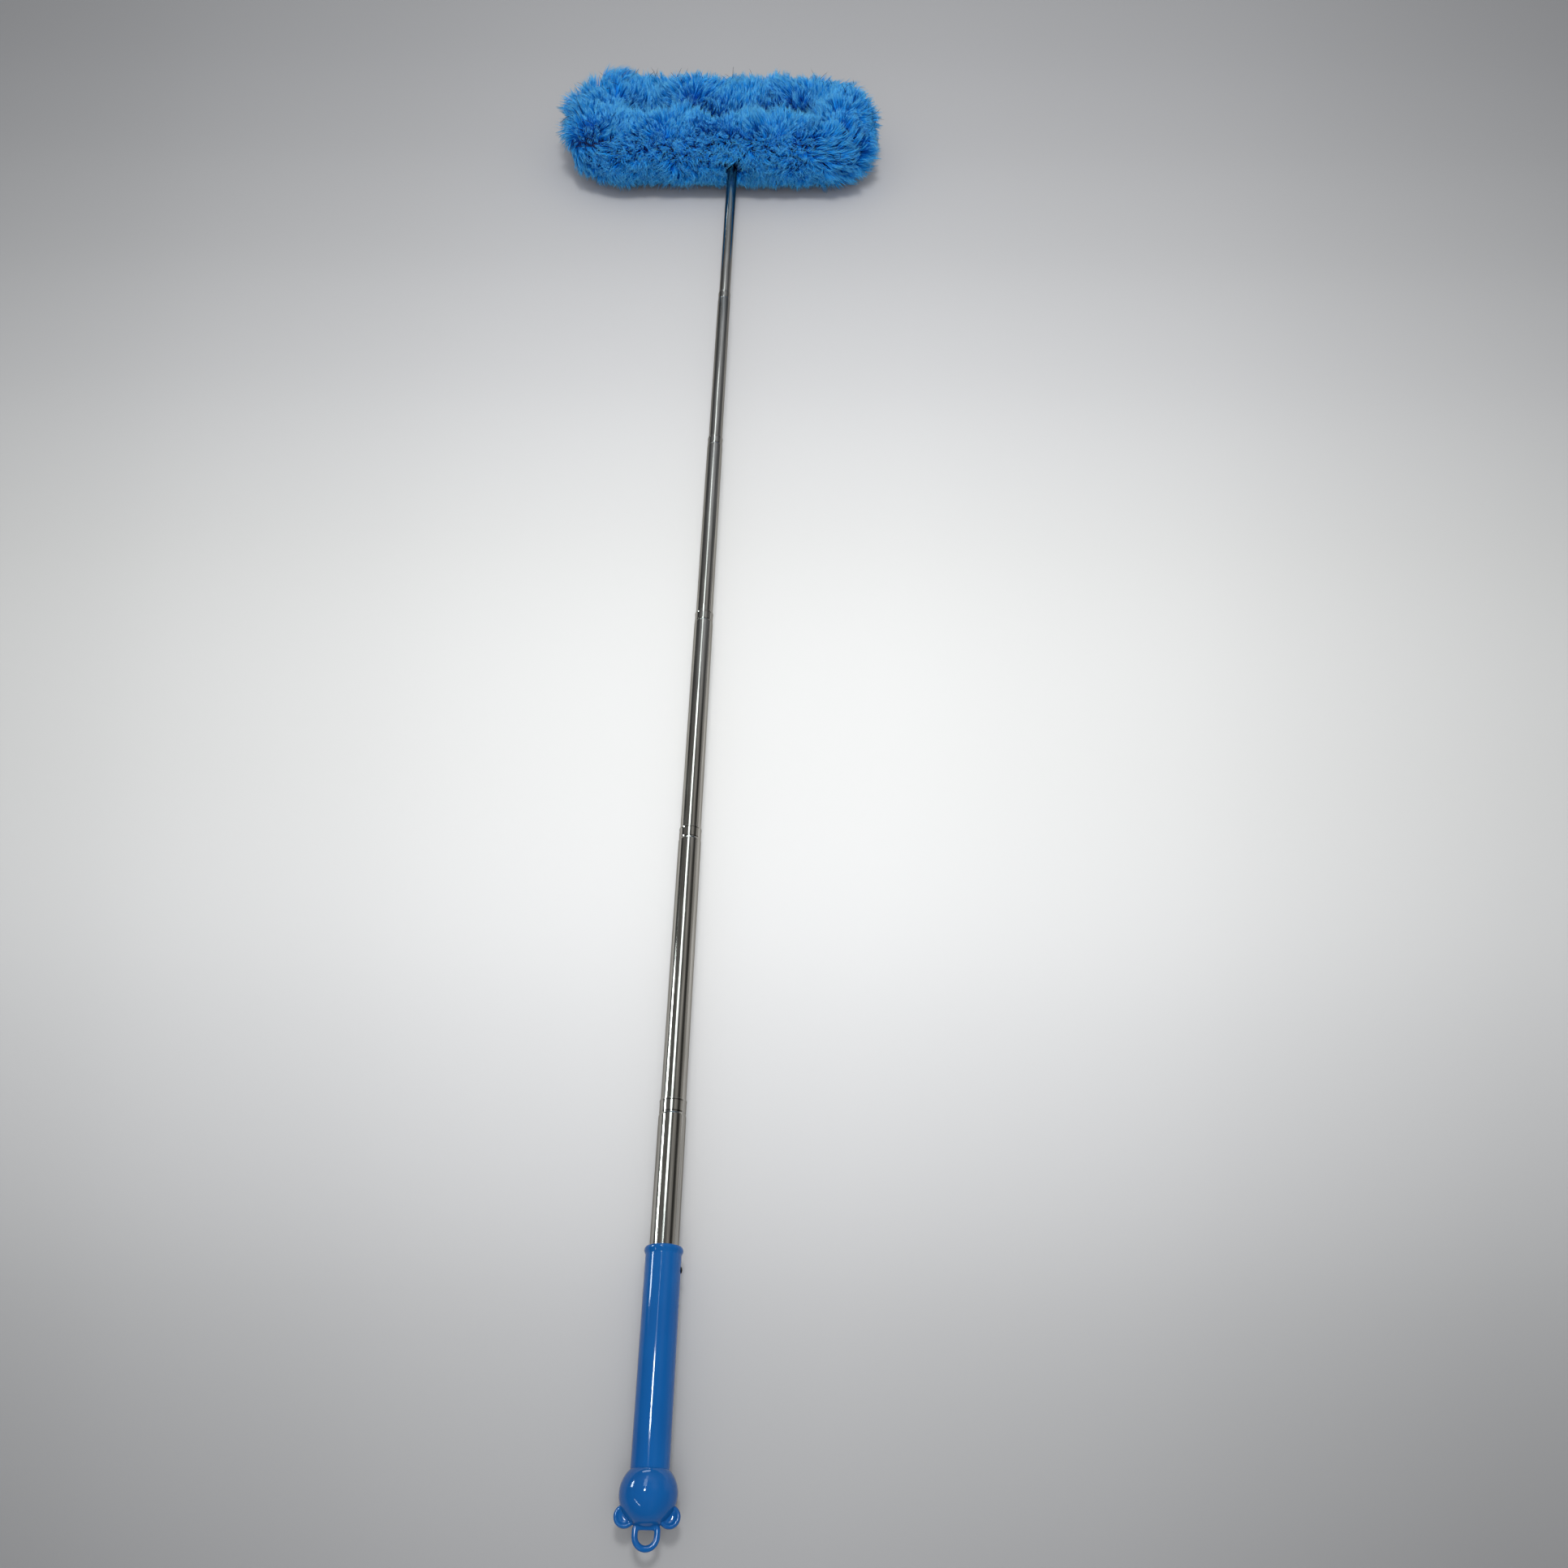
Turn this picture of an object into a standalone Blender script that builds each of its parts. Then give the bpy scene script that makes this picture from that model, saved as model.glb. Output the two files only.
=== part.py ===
"""Ceiling fan duster: a plush loop head on a six-section telescopic pole.

Metres, +Z up. The pole runs along +Y from the ball at the end of the handle
to the head, and rises slightly, because the duster lies on its end ball and
on the pile of its head. The origin is under the middle of the whole duster,
on the surface that it lies on. The pole is shown pulled out to its full
length; every section slides back into the one before it.
"""

import math
import random

import bmesh
import bpy
from mathutils import Matrix, Vector

# Clearances and small sizes shared by all pieces
GAP = 0.0003
CUT_OVERRUN = 0.004
MERGE_DISTANCE = 0.00002
ROUND_STEPS = 24
SMOOTH_ANGLE = math.radians(35)

# Telescopic tubes, numbered from the handle
TUBE_COUNT = 6
BASE_TUBE_RADIUS = 0.011
TUBE_RADIUS_STEP = 0.0009
TUBE_WALL = 0.0004
TUBE_SHOWN = 0.256
BASE_TUBE_SHOWN = 0.115
TIP_TUBE_SHOWN = 0.265
TUBE_ENGAGED = 0.030
NECK_LENGTH = 0.0115
NECK_TAPER = 0.002
NECK_CLEARANCE = 0.00015

# Foot plug in the lower end of each tube
PLUG_STEM_LENGTH = 0.008
PLUG_FLANGE_THICKNESS = 0.0015
PLUG_FLANGE_OVERHANG = 0.0002
PLUG_VENT_RADIUS = 0.0015

# Split friction sleeve round the foot of each sliding tube
SLEEVE_CLEARANCE = 0.00012
SLEEVE_SLIT = 0.002

# Handle grip with a rounded collar at its mouth
GRIP_TOP = 0.1655
GRIP_WALL = 0.00235
GRIP_RADIUS = BASE_TUBE_RADIUS + GAP + GRIP_WALL
GRIP_STEPS = 32
COLLAR_RISE = 0.0011
COLLAR_LENGTH = 0.0055
COLLAR_RIM_DROP = 0.0007
COLLAR_NECK_DROP = 0.0003
COLLAR_NECK_LENGTH = 0.0015
COLLAR_BLEND_LENGTH = 0.004
COLLAR_ARC_POINTS = 7

# Set screw through the wall of the grip
GRIP_SCREW_BELOW_TOP = 0.016
GRIP_SCREW_SHANK_RADIUS = 0.0014
GRIP_SCREW_HEAD_RADIUS = 0.00235
GRIP_SCREW_HEAD_HEIGHT = 0.0012
GRIP_SCREW_SEAT_DEPTH = 0.0006

# Ball at the end of the handle, with two dished ears and a hanging ring
BALL_RISE = 0.00665
BALL_RADIUS = GRIP_RADIUS + BALL_RISE
BALL_ARC_POINTS = 13
BALL_SEAM = math.sqrt(BALL_RADIUS**2 - GRIP_RADIUS**2)
SPIGOT_LENGTH = 0.012
SPIGOT_TOP = BALL_SEAM + SPIGOT_LENGTH
EAR_RADIUS = 0.0076
EAR_THICKNESS = 0.0056
EAR_DISH_RADIUS = 0.0054
EAR_DISH_DEPTH = 0.0013
EAR_DISH_CURVE_SHARES = ((0, 1), (0.5, 0.75), (1, 0))
EAR_EDGE_ROUNDING = 0.0014
EAR_OUT_FROM_BALL = 0.0003
EAR_DISTANCE = BALL_RADIUS + EAR_OUT_FROM_BALL
EAR_ANGLE = math.radians(42)
RING_WIRE_RADIUS = 0.0022
RING_HALF_WIDTH = 0.0076
RING_BAR_SUNK = 0.0004
RING_STRAIGHT = 0.0052
RING_STRAIGHT_END = BALL_RADIUS + RING_STRAIGHT
RING_ARC_POINTS = 10

# Bent rod loop of the head
LOOP_HALF_LENGTH = 0.170
LOOP_HALF_WIDTH = 0.050
LOOP_CORNER_RADIUS = 0.045
LOOP_CORNER_CELLS = 5
LOOP_ROD_RADIUS = 0.003
LOOP_ROD_END_GAP = 0.008
HEAD_OFFSET = 0.018

# T-shaped socket that joins the loop to the pole
SOCKET_MOUTH_DEPTH = 0.005
SOCKET_REACH = 0.030
SOCKET_WALL = 0.0027
TIP_TUBE_RADIUS = BASE_TUBE_RADIUS - TUBE_RADIUS_STEP * (TUBE_COUNT - 1)
SOCKET_STEM_RADIUS = TIP_TUBE_RADIUS + GAP + SOCKET_WALL
SOCKET_LIP = 0.001
SOCKET_WAIST_RADIUS = 0.008
SOCKET_TUBE_DEPTH = 0.0055
SOCKET_STUD_DEPTH = 0.013
CROSS_BARREL_RADIUS = 0.0083
CROSS_BARREL_HALF_LENGTH = 0.016

# Threaded insert in the upper end of the tip tube
INSERT_STEM_LENGTH = 0.018
INSERT_FLANGE_THICKNESS = 0.0012
INSERT_STUD_RADIUS = 0.0046
INSERT_STUD_CHAMFER = 0.0008

# Clamp screws that hold the rod's ends in the socket
CLAMP_SCREW_OFFSET = 0.012
CLAMP_SCREW_RADIUS = 0.0015
CLAMP_SCREW_HEAD_RADIUS = 0.0028
CLAMP_SCREW_HEAD_HEIGHT = 0.0016

# Plush cover: a backing tube round the rod, grown over with tufts of pile
BACKING_RADIUS = 0.0083
MOUTH_BACKING_RADIUS = 0.0108
PILE_RADIUS = 0.045
PILE_VARIATION = 0.004
PILE_PRESS = 0.0005
SLOT_HALF_WIDTH = 0.0065
TUFT_PITCH = 0.0157
TUFT_SIDES = 8
MOUTH_FIRST_SIDE = 2
MOUTH_SIDES = 5
CORNER_PILE_SHARE = 0.74
MIDDLE_RADIUS_SHARE = 0.62
MIDDLE_WIDTH_SHARE = 0.84
MIDDLE_LEAN_SHARE = 0.10
TIP_WIDTH_SHARE = 0.30
TIP_LEAN_SHARE = 0.35
PRESSED_TIP_WIDTH_SHARE = 0.5
PRESSED_TIP_LEAN_SHARE = 0.05
PILE_SEED = 7

# Places along the pole, measured from the centre of the ball
TUBE_TOPS = [GRIP_TOP + BASE_TUBE_SHOWN + TUBE_SHOWN * n for n in range(TUBE_COUNT - 1)]
TUBE_TOPS.append(TUBE_TOPS[-1] + TIP_TUBE_SHOWN)
SOCKET_MOUTH = TUBE_TOPS[-1] + SOCKET_MOUTH_DEPTH
SOCKET_SHOULDER = SOCKET_MOUTH + SOCKET_TUBE_DEPTH
FRONT_BAR = SOCKET_MOUTH + SOCKET_REACH
HEAD_BACK = FRONT_BAR + 2 * LOOP_HALF_WIDTH + PILE_RADIUS
RING_END = RING_STRAIGHT_END + RING_HALF_WIDTH + RING_WIRE_RADIUS

# The pole rises from the ball's radius to the height that the pile gives the head
POLE_RISE = math.asin((PILE_RADIUS - BALL_RADIUS) / FRONT_BAR)
POLE_START = -(HEAD_BACK - RING_END) / 2 * math.cos(POLE_RISE)

# Lengths of the parts of the loop's centre line
FRONT_RUN = 2 * (LOOP_HALF_LENGTH - LOOP_CORNER_RADIUS)
SIDE_RUN = 2 * (LOOP_HALF_WIDTH - LOOP_CORNER_RADIUS)
CORNER_RUN = LOOP_CORNER_RADIUS * math.pi / 2
END_RUN = 2 * CORNER_RUN + SIDE_RUN
LOOP_LENGTH = 2 * (FRONT_RUN + END_RUN)
POLE_ON_LOOP = FRONT_RUN / 2 + HEAD_OFFSET


def clear_scene():
    for old in list(bpy.data.objects):
        bpy.data.objects.remove(old, do_unlink=True)


def new_collection(name):
    collection = bpy.data.collections.new(name)
    bpy.context.scene.collection.children.link(collection)
    return collection


def new_material(name, colour, roughness, metallic=0.0):
    material = bpy.data.materials.new(name)
    material.use_nodes = True
    shader = material.node_tree.nodes["Principled BSDF"]
    shader.inputs["Base Color"].default_value = (*colour, 1.0)
    shader.inputs["Roughness"].default_value = roughness
    shader.inputs["Metallic"].default_value = metallic
    return material


def new_empty(name, collection, parent=None, location=(0, 0, 0), turn=0.0):
    """An empty, turned about X, that carries other objects."""
    empty = bpy.data.objects.new(name, None)
    collection.objects.link(empty)
    empty.parent = parent
    empty.location = location
    empty.rotation_euler = (turn, 0, 0)
    return empty


def new_object(name, data, collection, parent=None, location=(0, 0, 0), material=None):
    thing = bpy.data.objects.new(name, data)
    collection.objects.link(thing)
    thing.parent = parent
    thing.location = location
    if material is not None:
        data.materials.append(material)
    return thing


def as_guide(thing):
    """A shape that only cuts or joins another one."""
    thing.hide_render = True
    thing.display_type = "WIRE"
    return thing


def shade_round(mesh):
    mesh.shade_smooth()
    mesh.set_sharp_from_angle(angle=SMOOTH_ANGLE)


def turned(name, profile, hollow, steps=ROUND_STEPS, **place):
    """A turned piece from (radius, height) points that run down its outer side.

    A hollow piece's points go on up its bore and close on the first one; a
    solid piece's profile starts and ends on the axis.
    """
    mesh = bpy.data.meshes.new(name)
    points = [(radius, 0, height) for radius, height in profile]
    edges = [(n, n + 1) for n in range(len(points) - 1)]
    if hollow:
        edges.append((len(points) - 1, 0))
    mesh.from_pydata(points, edges, [])
    thing = new_object(name, mesh, **place)
    screw = thing.modifiers.new("turn", "SCREW")
    screw.axis = "Z"
    screw.angle = 2 * math.pi
    screw.steps = steps
    screw.render_steps = steps
    screw.use_merge_vertices = True
    screw.merge_threshold = MERGE_DISTANCE
    screw.use_smooth_shade = True
    return thing


def cylinder(name, radius, depth, steps=ROUND_STEPS, turn=None, **place):
    """A plain cylinder about its own centre, along Z unless it is turned."""
    bm = bmesh.new()
    bmesh.ops.create_cone(
        bm, cap_ends=True, segments=steps, radius1=radius, radius2=radius, depth=depth
    )
    if turn is not None:
        bmesh.ops.transform(bm, matrix=turn, verts=bm.verts)
    mesh = bpy.data.meshes.new(name)
    bm.to_mesh(mesh)
    bm.free()
    shade_round(mesh)
    return new_object(name, mesh, **place)


def box(name, size, centre, **place):
    """A plain box of the given size, with its centre at a point of its own frame."""
    bm = bmesh.new()
    bmesh.ops.create_cube(bm, size=1.0)
    bmesh.ops.scale(bm, vec=size, verts=bm.verts)
    bmesh.ops.translate(bm, vec=centre, verts=bm.verts)
    mesh = bpy.data.meshes.new(name)
    bm.to_mesh(mesh)
    bm.free()
    return new_object(name, mesh, **place)


def round_wire(name, points, radius, resolution, cyclic, **place):
    """A round wire or rod along a chain of points."""
    curve = bpy.data.curves.new(name, "CURVE")
    curve.dimensions = "3D"
    curve.bevel_depth = radius
    curve.bevel_resolution = resolution
    curve.use_fill_caps = not cyclic
    spline = curve.splines.new("POLY")
    spline.points.add(len(points) - 1)
    for spline_point, point in zip(spline.points, points):
        spline_point.co = (*point, 1.0)
    spline.use_cyclic_u = cyclic
    return new_object(name, curve, **place)


def wire_to_mesh(wire, collection):
    """The same wire as a mesh object in its place, so that it can be joined."""
    graph = bpy.context.evaluated_depsgraph_get()
    mesh = bpy.data.meshes.new_from_object(wire.evaluated_get(graph))
    bm = bmesh.new()
    bm.from_mesh(mesh)
    bmesh.ops.remove_doubles(bm, verts=bm.verts, dist=MERGE_DISTANCE)
    bm.to_mesh(mesh)
    bm.free()
    name = wire.name
    place = wire.matrix_world.copy()
    bpy.data.objects.remove(wire, do_unlink=True)
    thing = new_object(name, mesh, collection)
    thing.matrix_world = place
    return thing


def boolean(thing, other, operation):
    modifier = thing.modifiers.new(other.name, "BOOLEAN")
    modifier.operation = operation
    modifier.solver = "EXACT"
    modifier.object = other


def tube_radius(number):
    return BASE_TUBE_RADIUS - TUBE_RADIUS_STEP * number


def tube_bore(number):
    return tube_radius(number) - TUBE_WALL


def tube_foot(number):
    """Height along the pole of a tube's lower end."""
    if number == 0:
        return SPIGOT_TOP + 2 * GAP + PLUG_FLANGE_THICKNESS
    return TUBE_TOPS[number - 1] - TUBE_ENGAGED


def tip_tube_top():
    """The tip tube ends under the insert's flange, inside the socket."""
    return SOCKET_SHOULDER - 2 * GAP - INSERT_FLANGE_THICKNESS


def outer_tube(number, **place):
    """A tube with a swaged neck that guides the next tube."""
    length = TUBE_TOPS[number] - tube_foot(number)
    radius = tube_radius(number)
    bore = tube_bore(number)
    neck_bore = tube_radius(number + 1) + NECK_CLEARANCE
    neck_radius = neck_bore + TUBE_WALL
    neck_foot = length - NECK_LENGTH
    taper_foot = neck_foot - NECK_TAPER
    profile = [
        (neck_radius, length),
        (neck_radius, neck_foot),
        (radius, taper_foot),
        (radius, 0),
        (bore, 0),
        (bore, taper_foot),
        (neck_bore, neck_foot),
        (neck_bore, length),
    ]
    return turned(f"tube_{number + 1}", profile, hollow=True, **place)


def tip_tube(**place):
    number = TUBE_COUNT - 1
    length = tip_tube_top() - tube_foot(number)
    radius = tube_radius(number)
    bore = tube_bore(number)
    profile = [(radius, length), (radius, 0), (bore, 0), (bore, length)]
    return turned(f"tube_{TUBE_COUNT}", profile, hollow=True, **place)


def foot_plug(number, **place):
    """A vented plug whose flange carries the foot of its tube."""
    stem = tube_bore(number) - GAP
    flange = tube_radius(number) + PLUG_FLANGE_OVERHANG
    flange_foot = -GAP - PLUG_FLANGE_THICKNESS
    profile = [
        (PLUG_VENT_RADIUS, PLUG_STEM_LENGTH),
        (stem, PLUG_STEM_LENGTH),
        (stem, -GAP),
        (flange, -GAP),
        (flange, flange_foot),
        (PLUG_VENT_RADIUS, flange_foot),
    ]
    return turned(f"foot_plug_{number + 1}", profile, hollow=True, **place)


def friction_sleeve(number, cutters, **place):
    """A thin split sleeve between a sliding tube and the tube round it."""
    inner = tube_radius(number) + SLEEVE_CLEARANCE
    outer = tube_bore(number - 1) - SLEEVE_CLEARANCE
    foot = GAP
    top = TUBE_ENGAGED - NECK_LENGTH - NECK_TAPER - GAP
    name = f"friction_sleeve_{number + 1}"
    profile = [(outer, top), (outer, foot), (inner, foot), (inner, top)]
    sleeve = turned(name, profile, hollow=True, **place)
    slit = box(
        f"{name}_slit",
        (SLEEVE_SLIT, outer, top + 2 * CUT_OVERRUN),
        (0, inner, (foot + top) / 2),
        collection=cutters,
        parent=place["parent"],
    )
    boolean(sleeve, as_guide(slit), "DIFFERENCE")
    return sleeve


def grip_sleeve(cutters, **place):
    """The moulded grip: a straight sleeve, a shallow neck and a rounded collar."""
    foot = BALL_SEAM + GAP
    bore = BASE_TUBE_RADIUS + GAP
    rim = GRIP_RADIUS - COLLAR_RIM_DROP
    neck = GRIP_RADIUS - COLLAR_NECK_DROP
    profile = []
    for n in range(COLLAR_ARC_POINTS + 1):
        turn = math.pi * n / COLLAR_ARC_POINTS
        down = (1 - math.cos(turn)) / 2
        edge = rim + (neck - rim) * down
        radius = edge + (GRIP_RADIUS + COLLAR_RISE - edge) * math.sin(turn)
        profile.append((radius, GRIP_TOP - COLLAR_LENGTH * down))
    neck_foot = GRIP_TOP - COLLAR_LENGTH - COLLAR_NECK_LENGTH
    profile += [
        (neck, neck_foot),
        (GRIP_RADIUS, neck_foot - COLLAR_BLEND_LENGTH),
        (GRIP_RADIUS, foot),
        (bore, foot),
        (bore, GRIP_TOP),
    ]
    grip = turned("grip_sleeve", profile, hollow=True, steps=GRIP_STEPS, **place)
    height = GRIP_TOP - GRIP_SCREW_BELOW_TOP
    sideways = Matrix.Rotation(math.pi / 2, 4, "Y")
    holes = (
        ("shank_hole", GRIP_SCREW_SHANK_RADIUS + GAP, BASE_TUBE_RADIUS),
        ("head_seat", GRIP_SCREW_HEAD_RADIUS + GAP, GRIP_RADIUS - GRIP_SCREW_SEAT_DEPTH),
    )
    for label, radius, inner_end in holes:
        depth = GRIP_RADIUS - inner_end + CUT_OVERRUN
        hole = cylinder(
            f"grip_screw_{label}",
            radius,
            depth,
            turn=Matrix.Translation((inner_end + depth / 2, 0, height)) @ sideways,
            collection=cutters,
            parent=place["parent"],
        )
        boolean(grip, as_guide(hole), "DIFFERENCE")
    return grip


def grip_screw(**place):
    """A domed set screw that bears on the base tube; its axis is its own Z."""
    seat = GRIP_RADIUS - GRIP_SCREW_SEAT_DEPTH + GAP
    foot = BASE_TUBE_RADIUS + GAP
    head_top = seat + GRIP_SCREW_HEAD_HEIGHT
    rounding = GRIP_SCREW_HEAD_HEIGHT / 2
    profile = [
        (0, head_top),
        (GRIP_SCREW_HEAD_RADIUS - rounding, head_top),
        (GRIP_SCREW_HEAD_RADIUS, head_top - rounding),
        (GRIP_SCREW_HEAD_RADIUS, seat),
        (GRIP_SCREW_SHANK_RADIUS, seat),
        (GRIP_SCREW_SHANK_RADIUS, foot),
        (0, foot),
    ]
    screw = turned("grip_screw", profile, hollow=False, **place)
    screw.location = (0, 0, GRIP_TOP - GRIP_SCREW_BELOW_TOP)
    screw.rotation_euler = (0, math.pi / 2, 0)
    return screw


def ear(name, side, **place):
    """A flat round ear with a dished upper face, level with the ball's centre."""
    top = EAR_THICKNESS / 2
    edge = EAR_RADIUS - EAR_EDGE_ROUNDING
    profile = [
        (EAR_DISH_RADIUS * across_share, top - EAR_DISH_DEPTH * depth_share)
        for across_share, depth_share in EAR_DISH_CURVE_SHARES
    ]
    profile += [
        (edge, top),
        (EAR_RADIUS, top - EAR_EDGE_ROUNDING),
        (EAR_RADIUS, EAR_EDGE_ROUNDING - top),
        (edge, -top),
        (0, -top),
    ]
    disc = turned(name, profile, hollow=False, **place)
    across = side * EAR_DISTANCE * math.cos(EAR_ANGLE)
    disc.location = (across, 0, -EAR_DISTANCE * math.sin(EAR_ANGLE))
    disc.rotation_euler = (math.pi / 2, 0, 0)
    return disc


def ring_points():
    """The D-shaped line of the hanging ring, flat side towards the ball."""
    bar = -(BALL_RADIUS - RING_BAR_SUNK)
    points = [(-RING_HALF_WIDTH, 0, bar)]
    for n in range(RING_ARC_POINTS + 1):
        turn = math.pi * n / RING_ARC_POINTS
        points.append(
            (
                -RING_HALF_WIDTH * math.cos(turn),
                0,
                -RING_STRAIGHT_END - RING_HALF_WIDTH * math.sin(turn),
            )
        )
    points.append((RING_HALF_WIDTH, 0, bar))
    return points


def end_ball(cutters, **place):
    """The ball that closes the grip, moulded in one with its ears and ring."""
    spigot = BASE_TUBE_RADIUS
    seam_turn = math.acos(BALL_SEAM / BALL_RADIUS)
    profile = [(0, SPIGOT_TOP), (spigot, SPIGOT_TOP), (spigot, BALL_SEAM)]
    for n in range(BALL_ARC_POINTS + 1):
        turn = seam_turn + (math.pi - seam_turn) * n / BALL_ARC_POINTS
        radius = BALL_RADIUS * math.sin(turn) if n < BALL_ARC_POINTS else 0
        profile.append((radius, BALL_RADIUS * math.cos(turn)))
    ball = turned("end_ball", profile, hollow=False, steps=GRIP_STEPS, **place)
    parent = place["parent"]
    for name, side in (("ear_left", -1), ("ear_right", 1)):
        disc = ear(name, side, collection=cutters, parent=parent)
        boolean(ball, as_guide(disc), "UNION")
    wire = round_wire(
        "hanging_ring",
        ring_points(),
        RING_WIRE_RADIUS,
        resolution=3,
        cyclic=True,
        collection=cutters,
        parent=parent,
    )
    bpy.context.view_layer.update()
    boolean(ball, as_guide(wire_to_mesh(wire, cutters)), "UNION")
    return ball


def tip_insert(**place):
    """A plug with a threaded stud that holds the head on the tip tube."""
    number = TUBE_COUNT - 1
    stem = tube_bore(number) - GAP
    flange = tube_radius(number)
    flange_foot = GAP
    flange_top = flange_foot + INSERT_FLANGE_THICKNESS
    stud_top = flange_top + SOCKET_STUD_DEPTH
    profile = [
        (0, stud_top),
        (INSERT_STUD_RADIUS - INSERT_STUD_CHAMFER, stud_top),
        (INSERT_STUD_RADIUS, stud_top - INSERT_STUD_CHAMFER),
        (INSERT_STUD_RADIUS, flange_top),
        (flange, flange_top),
        (flange, flange_foot),
        (stem, flange_foot),
        (stem, -INSERT_STEM_LENGTH),
        (0, -INSERT_STEM_LENGTH),
    ]
    return turned("tip_insert", profile, hollow=False, **place)


def head_socket(cutters, head_axis, **place):
    """A T-shaped moulding: a stem on the pole and a cross barrel for the rod."""
    mouth = -SOCKET_REACH
    shoulder = mouth + SOCKET_TUBE_DEPTH
    stud_end = shoulder + SOCKET_STUD_DEPTH + GAP
    tube_seat = tube_radius(TUBE_COUNT - 1) + GAP
    stud_bore = INSERT_STUD_RADIUS + GAP
    profile = [
        (0, 0),
        (SOCKET_WAIST_RADIUS, 0),
        (SOCKET_WAIST_RADIUS, -CROSS_BARREL_RADIUS),
        (SOCKET_STEM_RADIUS, stud_end),
        (SOCKET_STEM_RADIUS, mouth + SOCKET_LIP),
        (SOCKET_STEM_RADIUS - SOCKET_LIP, mouth),
        (tube_seat, mouth),
        (tube_seat, shoulder),
        (stud_bore, shoulder),
        (stud_bore, stud_end),
        (0, stud_end),
    ]
    socket = turned("head_socket", profile, hollow=False, **place)
    across = Matrix.Rotation(math.pi / 2, 4, "Y")
    barrel = cylinder(
        "cross_barrel",
        CROSS_BARREL_RADIUS,
        2 * CROSS_BARREL_HALF_LENGTH,
        turn=across,
        collection=cutters,
        parent=head_axis,
    )
    boolean(socket, as_guide(barrel), "UNION")
    rod_bore = cylinder(
        "rod_bore",
        (LOOP_ROD_RADIUS + GAP) / math.cos(math.pi / ROUND_STEPS),
        2 * (CROSS_BARREL_HALF_LENGTH + CUT_OVERRUN),
        turn=across,
        collection=cutters,
        parent=head_axis,
    )
    boolean(socket, as_guide(rod_bore), "DIFFERENCE")
    for name, side in (("left", -1), ("right", 1)):
        hole = cylinder(
            f"clamp_screw_hole_{name}",
            CLAMP_SCREW_RADIUS + GAP,
            CROSS_BARREL_RADIUS + CUT_OVERRUN,
            collection=cutters,
            turn=Matrix.Rotation(math.pi / 2, 4, "X"),
            parent=head_axis,
            location=(
                side * CLAMP_SCREW_OFFSET,
                -(CROSS_BARREL_RADIUS + CUT_OVERRUN) / 2,
                0,
            ),
        )
        boolean(socket, as_guide(hole), "DIFFERENCE")
    return socket


def clamp_screw(name, side, **place):
    """A pan-head screw, beside the stem, that presses on the rod in the barrel."""
    foot = LOOP_ROD_RADIUS + GAP
    seat = CROSS_BARREL_RADIUS + GAP
    top = seat + CLAMP_SCREW_HEAD_HEIGHT
    edge = CLAMP_SCREW_HEAD_HEIGHT / 2
    profile = [
        (0, top),
        (CLAMP_SCREW_HEAD_RADIUS - edge, top),
        (CLAMP_SCREW_HEAD_RADIUS, top - edge),
        (CLAMP_SCREW_HEAD_RADIUS, seat),
        (CLAMP_SCREW_RADIUS, seat),
        (CLAMP_SCREW_RADIUS, foot),
        (0, foot),
    ]
    screw = turned(name, profile, hollow=False, **place)
    screw.location = (side * CLAMP_SCREW_OFFSET, 0, 0)
    screw.rotation_euler = (math.pi / 2, 0, 0)
    return screw


def loop_place(distance):
    """Point and outward direction on the loop's centre line, in the head's frame.

    The distance runs anticlockwise, seen from above, from the left end of the
    straight front run.
    """
    x = -FRONT_RUN / 2
    y = -LOOP_HALF_WIDTH
    heading = 0.0
    remaining = distance % LOOP_LENGTH
    runs = ((FRONT_RUN, False), (CORNER_RUN, True), (SIDE_RUN, False), (CORNER_RUN, True))
    for run, bends in runs * 2:
        step = min(remaining, run)
        if bends:
            turn = step / LOOP_CORNER_RADIUS
            x += LOOP_CORNER_RADIUS * (math.sin(heading + turn) - math.sin(heading))
            y += LOOP_CORNER_RADIUS * (math.cos(heading) - math.cos(heading + turn))
            heading += turn
        else:
            x += step * math.cos(heading)
            y += step * math.sin(heading)
        remaining -= step
        if remaining <= 0:
            break
    point = Vector((x - HEAD_OFFSET, y + LOOP_HALF_WIDTH, 0))
    outward = Vector((math.sin(heading), -math.cos(heading), 0))
    return point, outward


def around_loop(distance, angle, radius):
    """A point round the loop's centre line: angle 0 is outward, 90 degrees up."""
    point, outward = loop_place(distance)
    up = Vector((0, 0, 1))
    return point + (outward * math.cos(angle) + up * math.sin(angle)) * radius


def even_stops(start, end, cells):
    """Distances that part a stretch of the loop into equal cells."""
    return [start + (end - start) * n / cells for n in range(cells + 1)]


def bend_stops(start):
    """Distances of the cells round one end of the loop."""
    stops = even_stops(start, start + CORNER_RUN, LOOP_CORNER_CELLS)
    second = start + CORNER_RUN + SIDE_RUN
    return stops + even_stops(second, second + CORNER_RUN, LOOP_CORNER_CELLS)


def loop_frame(**place):
    """The rod loop, with both ends in the socket's cross barrel."""
    stops = [POLE_ON_LOOP + LOOP_ROD_END_GAP / 2]
    stops += bend_stops(FRONT_RUN)
    stops += bend_stops(2 * FRONT_RUN + END_RUN)
    stops.append(LOOP_LENGTH + POLE_ON_LOOP - LOOP_ROD_END_GAP / 2)
    points = [loop_place(stop)[0] for stop in stops]
    return round_wire(
        "loop_frame", points, LOOP_ROD_RADIUS, resolution=3, cyclic=False, **place
    )


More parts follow.
